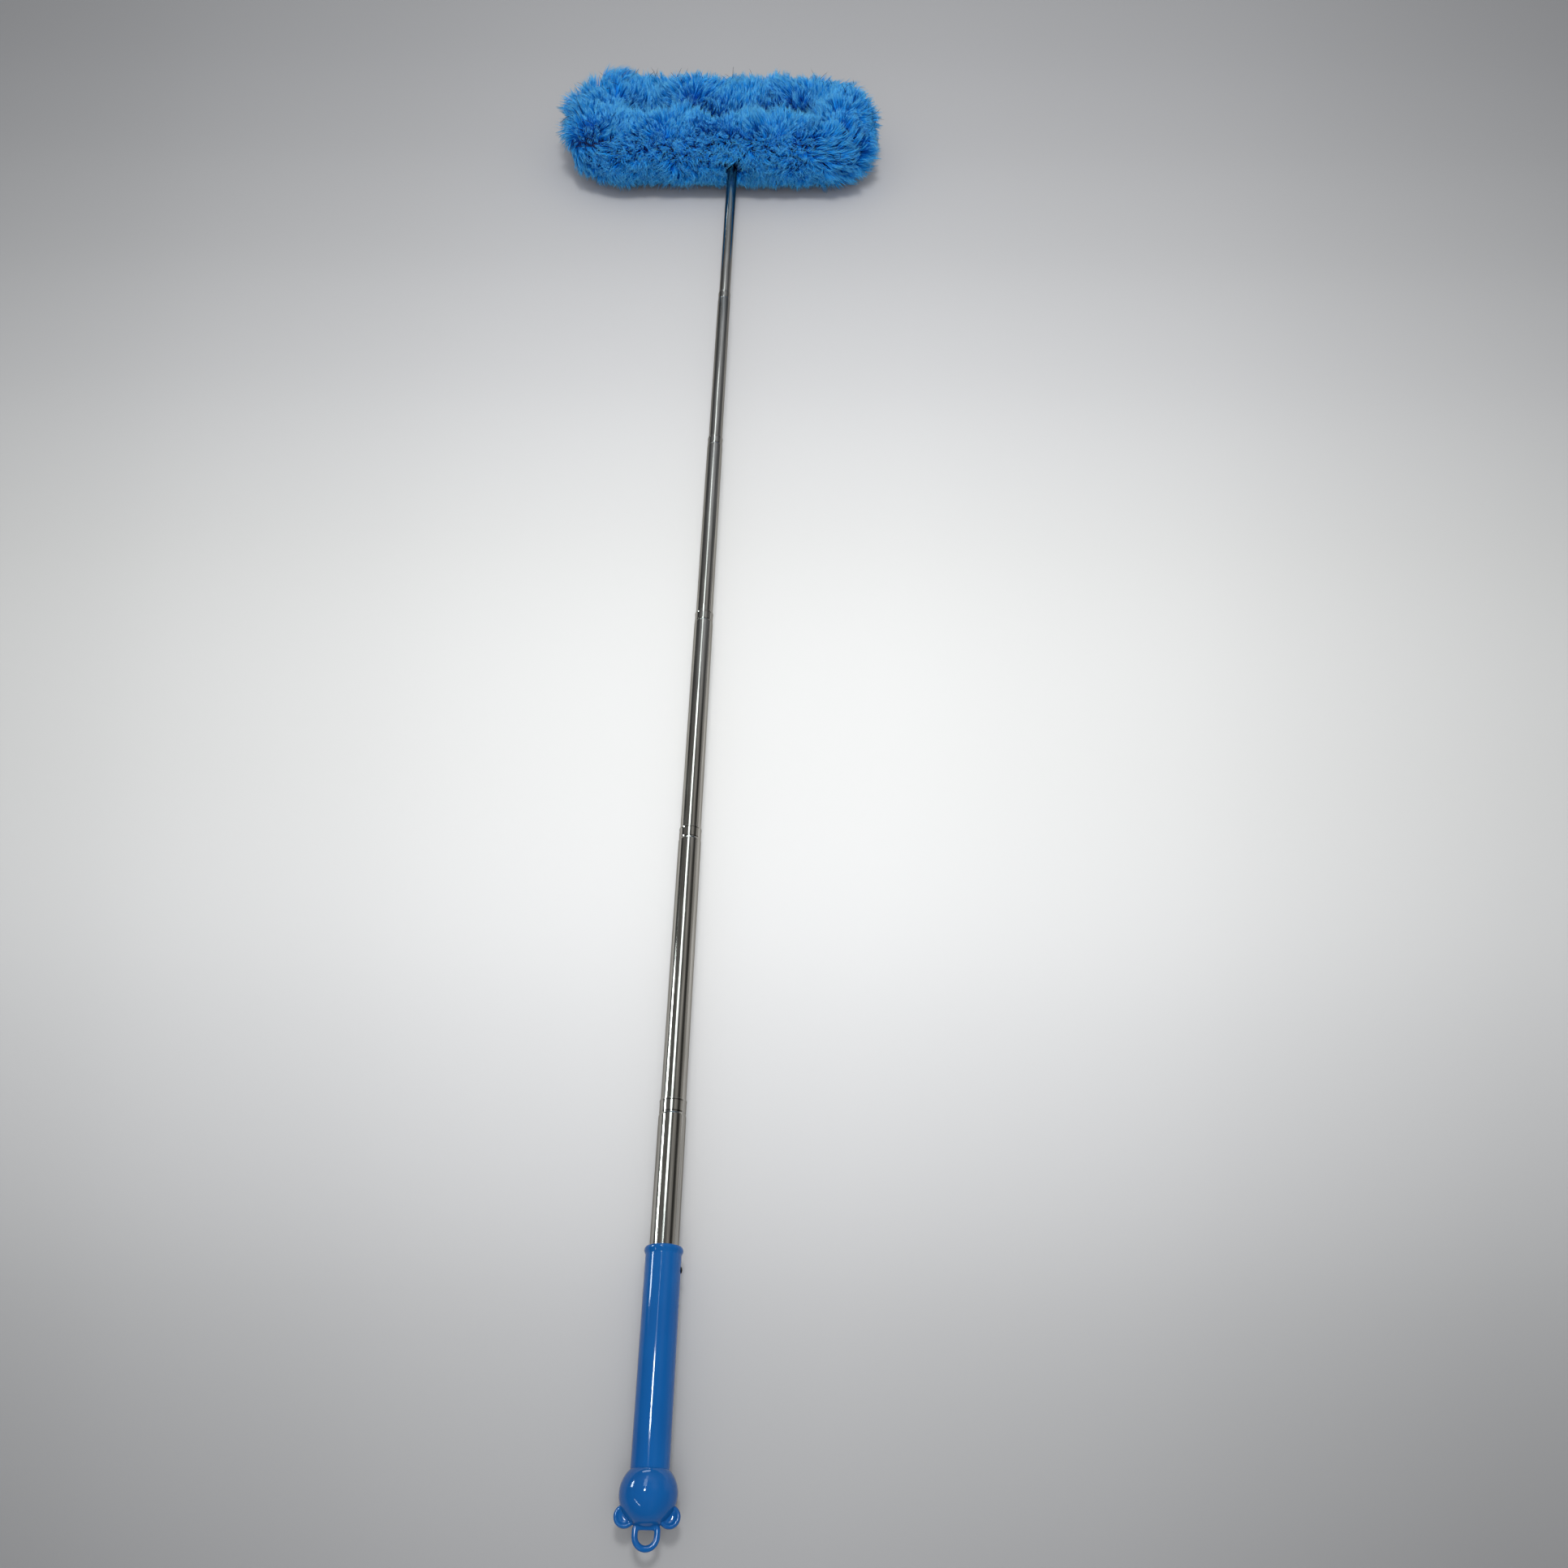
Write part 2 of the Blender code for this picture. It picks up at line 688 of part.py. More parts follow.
class Tuft:
    """One lock of pile on a cell of the backing, leaning a little at random."""

    def __init__(self, distance, angle, cell_length, backing, chance, on_end):
        self.distance = distance
        self.angle = angle
        self.backing = backing
        self.half_length = cell_length / 2
        self.half_angle = math.pi / TUFT_SIDES
        self.lean_along = chance.uniform(-1, 1)
        self.lean_around = chance.uniform(-1, 1)
        self.tip_radius = PILE_RADIUS - PILE_VARIATION * chance.random()
        inward = -math.cos(angle)
        self.pressed = math.sin(angle) < math.cos(self.half_angle) * -1
        if self.pressed:
            point, outward = loop_place(distance)
            height = PILE_RADIUS + point.y * math.sin(POLE_RISE)
            tip_turn = self.half_angle * (PRESSED_TIP_WIDTH_SHARE + PRESSED_TIP_LEAN_SHARE)
            reach = math.cos(tip_turn) * math.cos(POLE_RISE)
            self.tip_radius = (height + PILE_PRESS) / reach
        elif inward > math.cos(self.half_angle):
            room = LOOP_HALF_WIDTH - SLOT_HALF_WIDTH
            if on_end:
                room = LOOP_CORNER_RADIUS * CORNER_PILE_SHARE
            self.tip_radius = min(self.tip_radius, room)

    def corner(self, distance_side, angle_side, at_tip):
        """One corner of the lock's middle or tip section."""
        radius = self.tip_radius
        width = PRESSED_TIP_WIDTH_SHARE if self.pressed else TIP_WIDTH_SHARE
        lean = PRESSED_TIP_LEAN_SHARE if self.pressed else TIP_LEAN_SHARE
        if not at_tip:
            radius = self.backing + (radius - self.backing) * MIDDLE_RADIUS_SHARE
            width = MIDDLE_WIDTH_SHARE
            lean = MIDDLE_LEAN_SHARE
        along = self.half_length * (width * distance_side + lean * self.lean_along)
        around = self.half_angle * (width * angle_side + lean * self.lean_around)
        return around_loop(self.distance + along, self.angle + around, radius)


def turn_between(angle, reference):
    """The signed turn from a reference angle, at most half a turn either way."""
    return (angle - reference + math.pi) % (2 * math.pi) - math.pi


def shell_ring(bm, layers, distance, first_side, columns, radius):
    """One ring of a shell round the loop, with its place kept on each vertex."""
    ring = []
    for column in range(columns):
        angle = (first_side + column - 0.5) * 2 * math.pi / TUFT_SIDES
        vert = bm.verts.new(around_loop(distance, angle, radius))
        vert[layers["distance"]] = distance
        vert[layers["angle"]] = angle
        ring.append(vert)
    return ring


def plush_cover(name, stops, backing, core, first_side, sides, chance, on_end, **place):
    """One stretch of the plush cover: a backing shell whose cells grow tufts.

    The shell goes all the way round its core, or leaves the front open where
    it has fewer sides.
    """
    closed = sides == TUFT_SIDES
    columns = sides if closed else sides + 1
    bore = (core + GAP) / math.cos(math.pi / TUFT_SIDES)
    bm = bmesh.new()
    layers = {
        "distance": bm.verts.layers.float.new("distance"),
        "angle": bm.verts.layers.float.new("angle"),
    }
    cell_layer = bm.faces.layers.int.new("cell")
    outer = [shell_ring(bm, layers, stop, first_side, columns, backing) for stop in stops]
    inner = [shell_ring(bm, layers, stop, first_side, columns, bore) for stop in stops]
    tufts = []
    cells = []
    for n in range(len(stops) - 1):
        middle = (stops[n] + stops[n + 1]) / 2
        length = stops[n + 1] - stops[n]
        for side in range(sides):
            after = (side + 1) % columns
            cell = bm.faces.new(
                (outer[n][side], outer[n + 1][side], outer[n + 1][after], outer[n][after])
            )
            cell[cell_layer] = len(tufts)
            cells.append(cell)
            angle = (first_side + side) * 2 * math.pi / TUFT_SIDES
            tufts.append(Tuft(middle, angle, length, backing, chance, on_end))
            bm.faces.new(
                (inner[n][after], inner[n + 1][after], inner[n + 1][side], inner[n][side])
            )
        if not closed:
            for edge in (0, -1):
                bm.faces.new(
                    (outer[n][edge], outer[n + 1][edge], inner[n + 1][edge], inner[n][edge])
                )
    for ring in (0, -1):
        for side in range(sides):
            after = (side + 1) % columns
            bm.faces.new(
                (outer[ring][side], outer[ring][after], inner[ring][after], inner[ring][side])
            )
    for at_tip in (False, True):
        cells = bmesh.ops.extrude_discrete_faces(bm, faces=cells)["faces"]
        for cell in cells:
            tuft = tufts[cell[cell_layer]]
            for vert in cell.verts:
                distance_side = 1 if vert[layers["distance"]] > tuft.distance else -1
                turn = turn_between(vert[layers["angle"]], tuft.angle)
                vert.co = tuft.corner(distance_side, 1 if turn > 0 else -1, at_tip)
    bmesh.ops.recalc_face_normals(bm, faces=bm.faces)
    mesh = bpy.data.meshes.new(name)
    bm.to_mesh(mesh)
    bm.free()
    return new_object(name, mesh, **place)


def plush_covers(floor_cut, **place):
    """The stretches of the cover; the one at the pole is open towards the pole."""
    chance = random.Random(PILE_SEED)
    mouth_start = POLE_ON_LOOP - CROSS_BARREL_HALF_LENGTH - GAP / 2
    mouth_end = POLE_ON_LOOP + CROSS_BARREL_HALF_LENGTH + GAP / 2
    back = FRONT_RUN + END_RUN
    left_end = back + FRONT_RUN
    straights = (
        ("cover_front_left", 0, mouth_start),
        ("cover_mouth", mouth_start, mouth_end),
        ("cover_front_right", mouth_end, FRONT_RUN),
        ("cover_back", back, left_end),
    )
    stretches = []
    for name, start, end in straights:
        cells = round((end - start) / TUFT_PITCH)
        stretches.append((name, even_stops(start, end, cells), False))
    stretches.append(("cover_right_end", bend_stops(FRONT_RUN), True))
    stretches.append(("cover_left_end", bend_stops(left_end), True))
    for name, stops, on_end in stretches:
        stops[0] += GAP / 2
        stops[-1] -= GAP / 2
        shell = (BACKING_RADIUS, LOOP_ROD_RADIUS, 0, TUFT_SIDES)
        if name == "cover_mouth":
            shell = (
                MOUTH_BACKING_RADIUS,
                CROSS_BARREL_RADIUS,
                MOUTH_FIRST_SIDE,
                MOUTH_SIDES,
            )
        cover = plush_cover(name, stops, *shell, chance, on_end, **place)
        boolean(cover, floor_cut, "DIFFERENCE")


def main():
    clear_scene()
    duster = new_collection("ceiling_fan_duster")
    cutters = new_collection("cutters")

    blue_plastic = new_material("blue_gloss_plastic", (0.012, 0.12, 0.45), 0.18)
    steel = new_material("polished_steel", (0.62, 0.61, 0.58), 0.16, metallic=1.0)
    dark_steel = new_material("dark_steel", (0.08, 0.08, 0.09), 0.35, metallic=1.0)
    nylon = new_material("black_nylon", (0.03, 0.03, 0.032), 0.55)
    clear_film = new_material("grey_sleeve_film", (0.35, 0.36, 0.38), 0.45)
    plush = new_material("blue_plush", (0.03, 0.22, 0.62), 0.95)

    pole_axis = new_empty(
        "pole_axis",
        duster,
        location=(HEAD_OFFSET, POLE_START, BALL_RADIUS),
        turn=POLE_RISE - math.pi / 2,
    )
    end_ball(cutters, collection=duster, parent=pole_axis, material=blue_plastic)
    grip_sleeve(cutters, collection=duster, parent=pole_axis, material=blue_plastic)
    grip_screw(collection=duster, parent=pole_axis, material=dark_steel)

    for number in range(TUBE_COUNT):
        foot = new_empty(
            f"tube_{number + 1}_foot", duster, pole_axis, (0, 0, tube_foot(number))
        )
        if number < TUBE_COUNT - 1:
            outer_tube(number, collection=duster, parent=foot, material=steel)
        else:
            tip_tube(collection=duster, parent=foot, material=steel)
        foot_plug(number, collection=duster, parent=foot, material=nylon)
        if number > 0:
            friction_sleeve(
                number, cutters, collection=duster, parent=foot, material=clear_film
            )

    tip_top = new_empty("tip_tube_top", duster, pole_axis, (0, 0, tip_tube_top()))
    tip_insert(collection=duster, parent=tip_top, material=nylon)
    bar_centre = new_empty("front_bar_centre", duster, pole_axis, (0, 0, FRONT_BAR))
    head_axis = new_empty("head_axis", duster, bar_centre, turn=math.pi / 2)
    head_socket(
        cutters, head_axis, collection=duster, parent=bar_centre, material=blue_plastic
    )
    for name, side in (("clamp_screw_left", -1), ("clamp_screw_right", 1)):
        clamp_screw(name, side, collection=duster, parent=head_axis, material=dark_steel)
    loop_frame(collection=duster, parent=head_axis, material=steel)

    margin = CUT_OVERRUN * 2
    head_length = 2 * (LOOP_HALF_LENGTH + PILE_RADIUS + margin)
    head_width = 2 * (LOOP_HALF_WIDTH + PILE_RADIUS + margin)
    head_middle = POLE_START + (FRONT_BAR + LOOP_HALF_WIDTH) * math.cos(POLE_RISE)
    floor_cut = box(
        "floor_cut",
        (head_length, head_width, CUT_OVERRUN),
        (0, head_middle, -CUT_OVERRUN / 2),
        collection=cutters,
    )
    plush_covers(as_guide(floor_cut), collection=duster, parent=head_axis, material=plush)


main()
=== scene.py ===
"""Ceiling fan duster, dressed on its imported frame.

A six-section telescopic steel pole with a moulded blue grip, a ball with two
ears and a hanging ring at its lower end, and a loop head in a long blue pile.
Metres, +Z up, in the frame's own axes. Every surface is worked out as whole
numpy arrays; each class holds the sizes of one sub-assembly.
"""

from __future__ import annotations

import logging
import math
from dataclasses import dataclass, field, replace
from enum import Enum
from typing import Any, Callable, ClassVar, Sequence

import bpy
import numpy as np
from mathutils import Euler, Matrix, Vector


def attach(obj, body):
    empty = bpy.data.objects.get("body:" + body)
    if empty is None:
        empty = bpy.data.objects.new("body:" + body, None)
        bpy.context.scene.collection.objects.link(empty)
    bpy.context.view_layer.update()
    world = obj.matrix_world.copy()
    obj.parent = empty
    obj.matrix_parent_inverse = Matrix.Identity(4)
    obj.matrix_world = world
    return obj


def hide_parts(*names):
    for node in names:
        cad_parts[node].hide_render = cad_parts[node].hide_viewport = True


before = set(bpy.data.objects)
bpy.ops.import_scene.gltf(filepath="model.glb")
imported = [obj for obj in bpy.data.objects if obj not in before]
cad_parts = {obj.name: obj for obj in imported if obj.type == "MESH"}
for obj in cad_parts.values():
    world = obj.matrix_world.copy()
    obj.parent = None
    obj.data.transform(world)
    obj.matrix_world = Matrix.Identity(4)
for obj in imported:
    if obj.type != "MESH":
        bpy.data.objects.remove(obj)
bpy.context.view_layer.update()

Array = np.ndarray
Material = bpy.types.Material
Socket = bpy.types.NodeSocket
Thing = bpy.types.Object
Tree = bpy.types.NodeTree
Triple = tuple[float, float, float]

LOG = logging.getLogger("duster")
MM = 0.001
TURN = 2 * math.pi


class Body(Enum):
    """The frame's bodies that new pieces ride on; each carries one tube, in this order."""

    HANDLE = "handle"
    SECTION_2 = "section_2"
    SECTION_3 = "section_3"
    SECTION_4 = "section_4"
    SECTION_5 = "section_5"
    HEAD = "tip_and_head"


class Slot(Enum):
    """The record's material slots, one named for each new piece."""

    STEEL = "polished_steel"
    PLASTIC = "blue_plastic"
    PLUSH = "plush"
    DARK_STEEL = "dark_steel"


def linear(code: str) -> Triple:
    """Turn an sRGB hex colour such as #14579A to red, green and blue in linear light."""
    shares = [int(code[n : n + 2], 16) / 255 for n in (1, 3, 5)]
    return tuple(s / 12.92 if s <= 0.04045 else ((s + 0.055) / 1.055) ** 2.4 for s in shares)


def ease(low: float, high: float, value: Array) -> Array:
    """Rise smoothly from 0 at low to 1 at high, by three t squared less two t cubed."""
    t = np.clip((value - low) / (high - low), 0, 1)
    return t * t * (3 - 2 * t)


def bell(distance: Array, width: float) -> Array:
    """A hill one high at distance nothing: exp(-(distance / width)^2)."""
    return np.exp(-((distance / width) ** 2))


def way_from(value: Array, reference: Array | float, whole: float = TURN) -> Array:
    """The signed way from a reference to a value on a ring, at most half of it."""
    return (value - reference + whole / 2) % whole - whole / 2


# ---------------------------------------------------------------- meshes


@dataclass(frozen=True)
class Skin:
    """Points (n x 3), and the quads and triangles that join them."""

    points: Array
    quads: Array
    triangles: Array | Sequence[int] = ()

    def moved(self, change: Callable[[Array], Array]) -> Skin:
        """The same faces on points that a function has moved."""
        return replace(self, points=change(self.points))


def linked(name: str, data: Any) -> Thing:
    """Put a new object with the given data into the scene."""
    thing = bpy.data.objects.new(name, data)
    bpy.context.scene.collection.objects.link(thing)
    return thing


def make_piece(name: str, skin: Skin, tints: Array | None = None) -> Thing:
    """Put a skin into a new mesh object at the origin.

    The signed volume, one sixth of the sum of a . (b x c) over the triangles,
    says whether the faces point outwards; they are turned round if it is less
    than nothing.

    Args:
        name: the object's name.
        skin: its points in the row frame, and its faces.
        tints: n x 4 values for the point attribute "pile", or none.

    Returns:
        The linked object, smooth shaded.
    """
    points = skin.points
    quads = np.asarray(skin.quads, np.int64).reshape(-1, 4)
    triangles = np.asarray(skin.triangles, np.int64).reshape(-1, 3)
    halves = np.concatenate([quads[:, [0, 1, 2]], quads[:, [0, 2, 3]], triangles])
    a, b, c = (points[halves[:, n]] - points[0] for n in range(3))
    if np.einsum("ij,ij->", a, np.cross(b, c)) < 0:
        quads, triangles = quads[:, ::-1], triangles[:, ::-1]
    corners = np.concatenate([quads.ravel(), triangles.ravel()]).astype(np.int32)
    starts = [np.arange(len(quads)) * 4, quads.size + np.arange(len(triangles)) * 3]
    starts = np.concatenate(starts).astype(np.int32)
    mesh = bpy.data.meshes.new(name)
    mesh.vertices.add(len(points))
    mesh.loops.add(len(corners))
    mesh.polygons.add(len(starts))
    mesh.vertices.foreach_set("co", np.ascontiguousarray(points, np.float32).ravel())
    mesh.loops.foreach_set("vertex_index", corners)
    mesh.polygons.foreach_set("loop_start", starts)
    mesh.polygons.foreach_set("use_smooth", np.ones(len(starts), bool))
    mesh.update(calc_edges=True)
    if tints is not None:
        layer = mesh.attributes.new("pile", "FLOAT_COLOR", "POINT")
        layer.data.foreach_set("color", np.ascontiguousarray(tints, np.float32).ravel())
    return linked(name, mesh)


def net(rows: int, columns: int, closed: bool) -> Array:
    """Quads of a grid of points numbered row by row, whose rows close on themselves.

    Args:
        rows: how many rows of points.
        columns: how many points in a row.
        closed: whether the last row joins the first.

    Returns:
        m x 4 indices.
    """
    row = np.arange(rows if closed else rows - 1)[:, None]
    here, below = row * columns, (row + 1) % rows * columns
    c = np.arange(columns)
    beside = (c + 1) % columns
    return np.stack([here + c, below + c, below + beside, here + beside], -1).reshape(-1, 4)


def fans(rows: int, columns: int) -> Array:
    """Triangles that close a net at its first and last row.

    Args:
        rows: how many rows the net has.
        columns: how many points are in a row.

    Returns:
        m x 3 indices. The two middles are the points that follow the net's own.
    """
    c = np.arange(columns)
    beside, last, middle = (c + 1) % columns, (rows - 1) * columns, rows * columns + 0 * c
    ends = [(c, beside, middle), (last + beside, last + c, middle + 1)]
    return np.concatenate([np.stack(end, -1) for end in ends])


def rounded(corners: list[Triple], steps: int = 5) -> Array:
    """Round the corners of a profile.

    Each corner gives way to a curve that starts and ends its own radius away
    from it: (1-t)^2 A + 2t(1-t) corner + t^2 B.

    Args:
        corners: across, along and rounding of each corner, in order.
        steps: pieces of each curve.

    Returns:
        m x 2 points of the profile.
    """
    places = np.array([c[:2] for c in corners], float)
    line = [places[:1]]
    for n in range(1, len(corners) - 1):
        here, rounding = places[n], corners[n][2]
        to_a, to_b = places[n - 1] - here, places[n + 1] - here
        a = here + to_a * min(0.5, rounding / np.hypot(*to_a))
        b = here + to_b * min(0.5, rounding / np.hypot(*to_b))
        t = np.linspace(0, 1, steps + 1)[:, None]
        bend = (1 - t) ** 2 * a + 2 * t * (1 - t) * here + t**2 * b
        line.append(bend if rounding else here[None])
    return np.concatenate([*line, places[-1:]])


def turned(profile: Array, steps: int, hollow: bool) -> Skin:
    """Turn a profile about the third axis: (r sin a, r cos a, height).

    Args:
        profile: m x 2, radius and height. A hollow one is a closed ring; a
            solid one starts and ends on the axis.
        steps: points round the axis.
        hollow: whether the profile closes on itself.

    Returns:
        The turned skin.
    """
    angle = np.linspace(0, TURN, steps, endpoint=False)
    ring = profile if hollow else profile[1:-1]
    r, h = ring[:, :1], ring[:, 1:]
    points = np.stack([r * np.sin(angle), r * np.cos(angle), h + 0 * angle], -1).reshape(-1, 3)
    quads = net(len(ring), steps, hollow)
    if hollow:
        return Skin(points, quads)
    tips = [[0, 0, profile[0, 1]], [0, 0, profile[-1, 1]]]
    return Skin(np.concatenate([points, tips]), quads, fans(len(ring), steps))


def joined(
    thing: Thing, operation: str, others: list[Thing], *steps: tuple[str, dict[str, Any]]
) -> None:
    """Join other solids to an object or cut them from it, and keep the mesh that comes of it.

    Args:
        thing: the object.
        operation: UNION or DIFFERENCE.
        others: the other solids, which are removed.
        *steps: kind and settings of each modifier that follows.
    """
    exact = {"operation": operation, "solver": "EXACT"}
    for kind, settings in [*(("BOOLEAN", {**exact, "object": other}) for other in others), *steps]:
        modifier = thing.modifiers.new(kind.lower(), kind)
        for key, value in settings.items():
            setattr(modifier, key, value)
    seen = thing.evaluated_get(bpy.context.evaluated_depsgraph_get())
    mesh = bpy.data.meshes.new_from_object(seen)
    thing.modifiers.clear()
    thing.data = mesh
    for other in others:
        bpy.data.objects.remove(other, do_unlink=True)


# -------------------------------------------------------------- materials


def plug(tree: Tree, socket: Socket, value: Any) -> None:
    """Feed an input from an output, or set its own value.

    Args:
        tree: the node tree.
        socket: the input.
        value: an output, a number, a vector, or a colour of three channels.
    """
    if isinstance(value, Socket):
        tree.links.new(value, socket)
    else:
        socket.default_value = (*value, 1.0) if socket.type == "RGBA" else value


def add_node(
    tree: Tree,
    kind: str,
    inputs: dict[str | int, Any] | Sequence[Any] = (),
    stops: Sequence[tuple[float, Sequence[float]]] = (),
    curve: str = "LINEAR",
    **settings: Any,
) -> Any:
    """Add a shader node with its settings and links.

    Args:
        tree: the node tree.
        kind: the node's type name without "ShaderNode".
        inputs: what each input is plugged with, in order or by name or number.
        stops: place and colour of each stop of a colour ramp, in order.
        curve: how the ramp passes from stop to stop.
        **settings: the node's own properties.

    Returns:
        The node's outputs.
    """
    node = tree.nodes.new(f"ShaderNode{kind}")
    for key, value in settings.items():
        setattr(node, key, value)
    for key, value in inputs.items() if isinstance(inputs, dict) else enumerate(inputs):
        plug(tree, node.inputs[key], value)
    if stops:
        node.color_ramp.interpolation = curve
        elements = node.color_ramp.elements
        while len(elements) < len(stops):
            elements.new(1.0)
        for element, (place, colour) in zip(elements, stops):
            element.position, element.color = place, (*colour, 1.0)
    return node.outputs


def graded(
    tree: Tree,
    value: Socket,
    table: Sequence[tuple[float, Any]],
    tint: Triple = (1.0, 1.0, 1.0),
    curve: str = "LINEAR",
) -> Socket:
    """Turn a value to a colour by a table.

    Args:
        tree: the node tree.
        value: the output that the colour follows.
        table: value and shade, or a shade for each channel, in order.
        tint: what every shade is multiplied with, channel by channel.
        curve: how the colour passes from shade to shade.

    Returns:
        The colour's output.
    """
    low, high = table[0][0], table[-1][0]
    share = add_node(tree, "MapRange", (value, low, high))[0]
    stops = [((at - low) / (high - low), np.multiply(tint, shade)) for at, shade in table]
    return add_node(tree, "ValToRGB", (share,), stops, curve)[0]


def stretched_noise(tree: Tree, sizes: Triple, detail: float = 3.0) -> Socket:
    """Noise on Object coordinates whose blotches have the given size on each axis.

    Args:
        tree: the material's tree.
        sizes: size of a blotch along X, Y and Z in millimetres.
        detail: octaves of the noise.

    Returns:
        The noise's factor output.
    """
    scale = [1 / (size * MM) for size in sizes]
    place = add_node(tree, "TexCoord")["Object"]
    scaled = add_node(tree, "Mapping", {"Vector": place, "Scale": scale})[0]
    grain = {"Vector": scaled, "Scale": 1.0, "Detail": detail, "Roughness": 0.55}
    return add_node(tree, "TexNoise", grain)["Fac"]


@dataclass(frozen=True)
class Finish:
    """A named material with a principled shader, and the noise that breaks its evenness.

    Each pattern starts with the size of a blotch along X, Y and Z in
    millimetres and the octaves. The mottle has shares of the base colour, the
    rubs have the noise's range and shares of the roughness, and the skin has
    the bump's strength and its depth in millimetres.
    """

    name: str
    base: str
    roughness: float
    metallic: float = 0.0
    ior: float | None = None
    mottle: ClassVar[tuple[Any, ...]] = ()
    rubs: ClassVar[tuple[Any, ...]] = ()
    skin: ClassVar[tuple[Any, ...]] = ()

    def make(self) -> Material:
        """Build the node material: the plain values first, then what the patterns change.

        Returns:
            The new material.
        """
        base = linear(self.base)
        material = bpy.data.materials.new(self.name)
        material.diffuse_color = (*base, 1.0)
        material.use_nodes = True
        tree = material.node_tree
        shader = tree.nodes["Principled BSDF"]
        plain = {"Base Color": base, "Roughness": self.roughness, "Metallic": self.metallic}
        if self.ior:
            plain["IOR"] = self.ior
        for name, value in [*plain.items(), *self.pattern(tree).items()]:
            plug(tree, shader.inputs[name], value)
        return material

    def pattern(self, tree: Tree) -> dict[str, Any]:
        """What the surface shows beyond one even colour.

        Args:
            tree: the material's tree.

        Returns:
            What the shader's inputs are plugged with, by name.
        """
        inputs = {}
        if self.mottle:
            sizes, octaves, shades = self.mottle
            noise = stretched_noise(tree, sizes, octaves)
            inputs["Base Color"] = graded(tree, noise, shades, linear(self.base))
        if self.rubs:
            sizes, octaves, low, high, *shares = self.rubs
            shine = (low, high, *(self.roughness * share for share in shares))
            noise = stretched_noise(tree, sizes, octaves)
            inputs["Roughness"] = add_node(tree, "MapRange", (noise, *shine))[0]
        if self.skin:
            sizes, octaves, strength, depth = self.skin
            bump = {"Height": stretched_noise(tree, sizes, octaves)}
            bump |= {"Strength": strength, "Distance": depth * MM}
            inputs["Normal"] = add_node(tree, "Bump", bump)[0]
        return inputs


class DrawnSteel(Finish):
    """Stainless steel tube, drawn and polished.

    The drawing leaves faint lines along the tube, 0.9 mm wide and 150 mm long,
    so its reflections break into long streaks; handling leaves patches of
    28 mm with slightly duller shine. Real lines are a few hundredths of a
    millimetre wide, too fine to show here, so they are drawn this coarse.
    """

    mottle = ((0.9, 150, 0.9), 2.0, ((0.3, 0.73), (0.7, 1.27)))
    rubs = ((9, 28, 9), 3.0, 0.3, 0.7, 0.75, 1.35)
    skin = ((0.9, 150, 0.9), 2.0, 0.10, 0.05)

    def pattern(self, tree: Tree) -> dict[str, Any]:
        """Add the slightly warm edge of steel's reflections."""
        return {**super().pattern(tree), "Specular Tint": linear("#A8A6A2")}


class MouldedPlastic(Finish):
    """Injection-moulded plastic from a polished tool.

    It shines like a wet surface, with a slow waviness of the skin, 25 mm long,
    that bends the lamps' reflections, and fine rubs of 6 mm where hands hold it.
    """

    mottle = ((30, 45, 30), 2.0, ((0.3, (0.9, 0.9, 0.92)), (0.7, (1.08, 1.06, 1.03))))
    rubs = ((1.2, 6, 1.2), 5.0, 0.45, 0.8, 1.0, 1.9)
    skin = ((7, 25, 7), 1.0, 0.07, 0.2)


class GrainedPlastic(Finish):
    """Moulded plastic or film with a fine spark-eroded grain of 0.3 mm, which keeps it dull."""

    mottle = ((5, 5, 5), 3.0, ((0.3, 0.8), (0.7, 1.25)))
    skin = ((0.3, 0.3, 0.3), 2.0, 0.25, 0.05)


class KnittedBacking(Finish):
    """The knitted backing that the pile grows from: dark, matt, with loops 1.4 mm apart."""

    skin = ((1.4, 1.4, 1.4), 3.0, 0.9, 1.0)

    def pattern(self, tree: Tree) -> dict[str, Any]:
        """Mottle the colour between two dark blues at the size of the loops."""
        shades = ((0.35, linear("#04102E")), (0.75, linear("#0E3C80")))
        loops = stretched_noise(tree, *self.skin[:2])
        return {**super().pattern(tree), "Base Color": graded(tree, loops, shades)}


class MicrofibrePile(Finish):
    """Long polyester microfibre pile, split and crimped.

    Its colour is painted darkest at each lock's root, as painted shade where little
    light comes, and paler towards the tip, as painted light; neighbouring locks
    differ a little in tone. Its soft sheen comes from thousands of fibre tips.
    """

    def pattern(self, tree: Tree) -> dict[str, Any]:
        """Colour by attribute: painted shade from root to tip, tone of lock, tone of strand.

        Args:
            tree: the material's tree.

        Returns:
            What the shader's inputs are plugged with, by name.
        """
        pile = add_node(tree, "Attribute", attribute_name="pile")["Color"]
        height, lock, strand = add_node(tree, "SeparateColor", (pile,))
        # painted shade at the root and painted light at the tip: the ramp darkens roots, pales
        # tips
        shades = ((0.0, "#0364CC"), (0.30, "#058AF8"), (0.62, "#1DACFF"), (1.0, "#6CCDFF"))
        colour = graded(tree, height, [(at, linear(code)) for at, code in shades])
        lock_tone = add_node(tree, "MapRange", (lock, 0.0, 1.0, 0.80, 1.16))[0]
        strand_tone = add_node(tree, "MapRange", (strand, 0.0, 1.0, 0.88, 1.08))[0]
        tone = add_node(tree, "Math", (lock_tone, strand_tone), operation="MULTIPLY")[0]
        toned = add_node(tree, "VectorMath", {0: colour, "Scale": tone}, operation="SCALE")[0]
        return {
            "Base Color": toned,
            "Specular IOR Level": 0.18,
            "Sheen Weight": 0.08,
            "Sheen Roughness": 0.4,
            "Sheen Tint": linear("#9CCBF5"),
        }
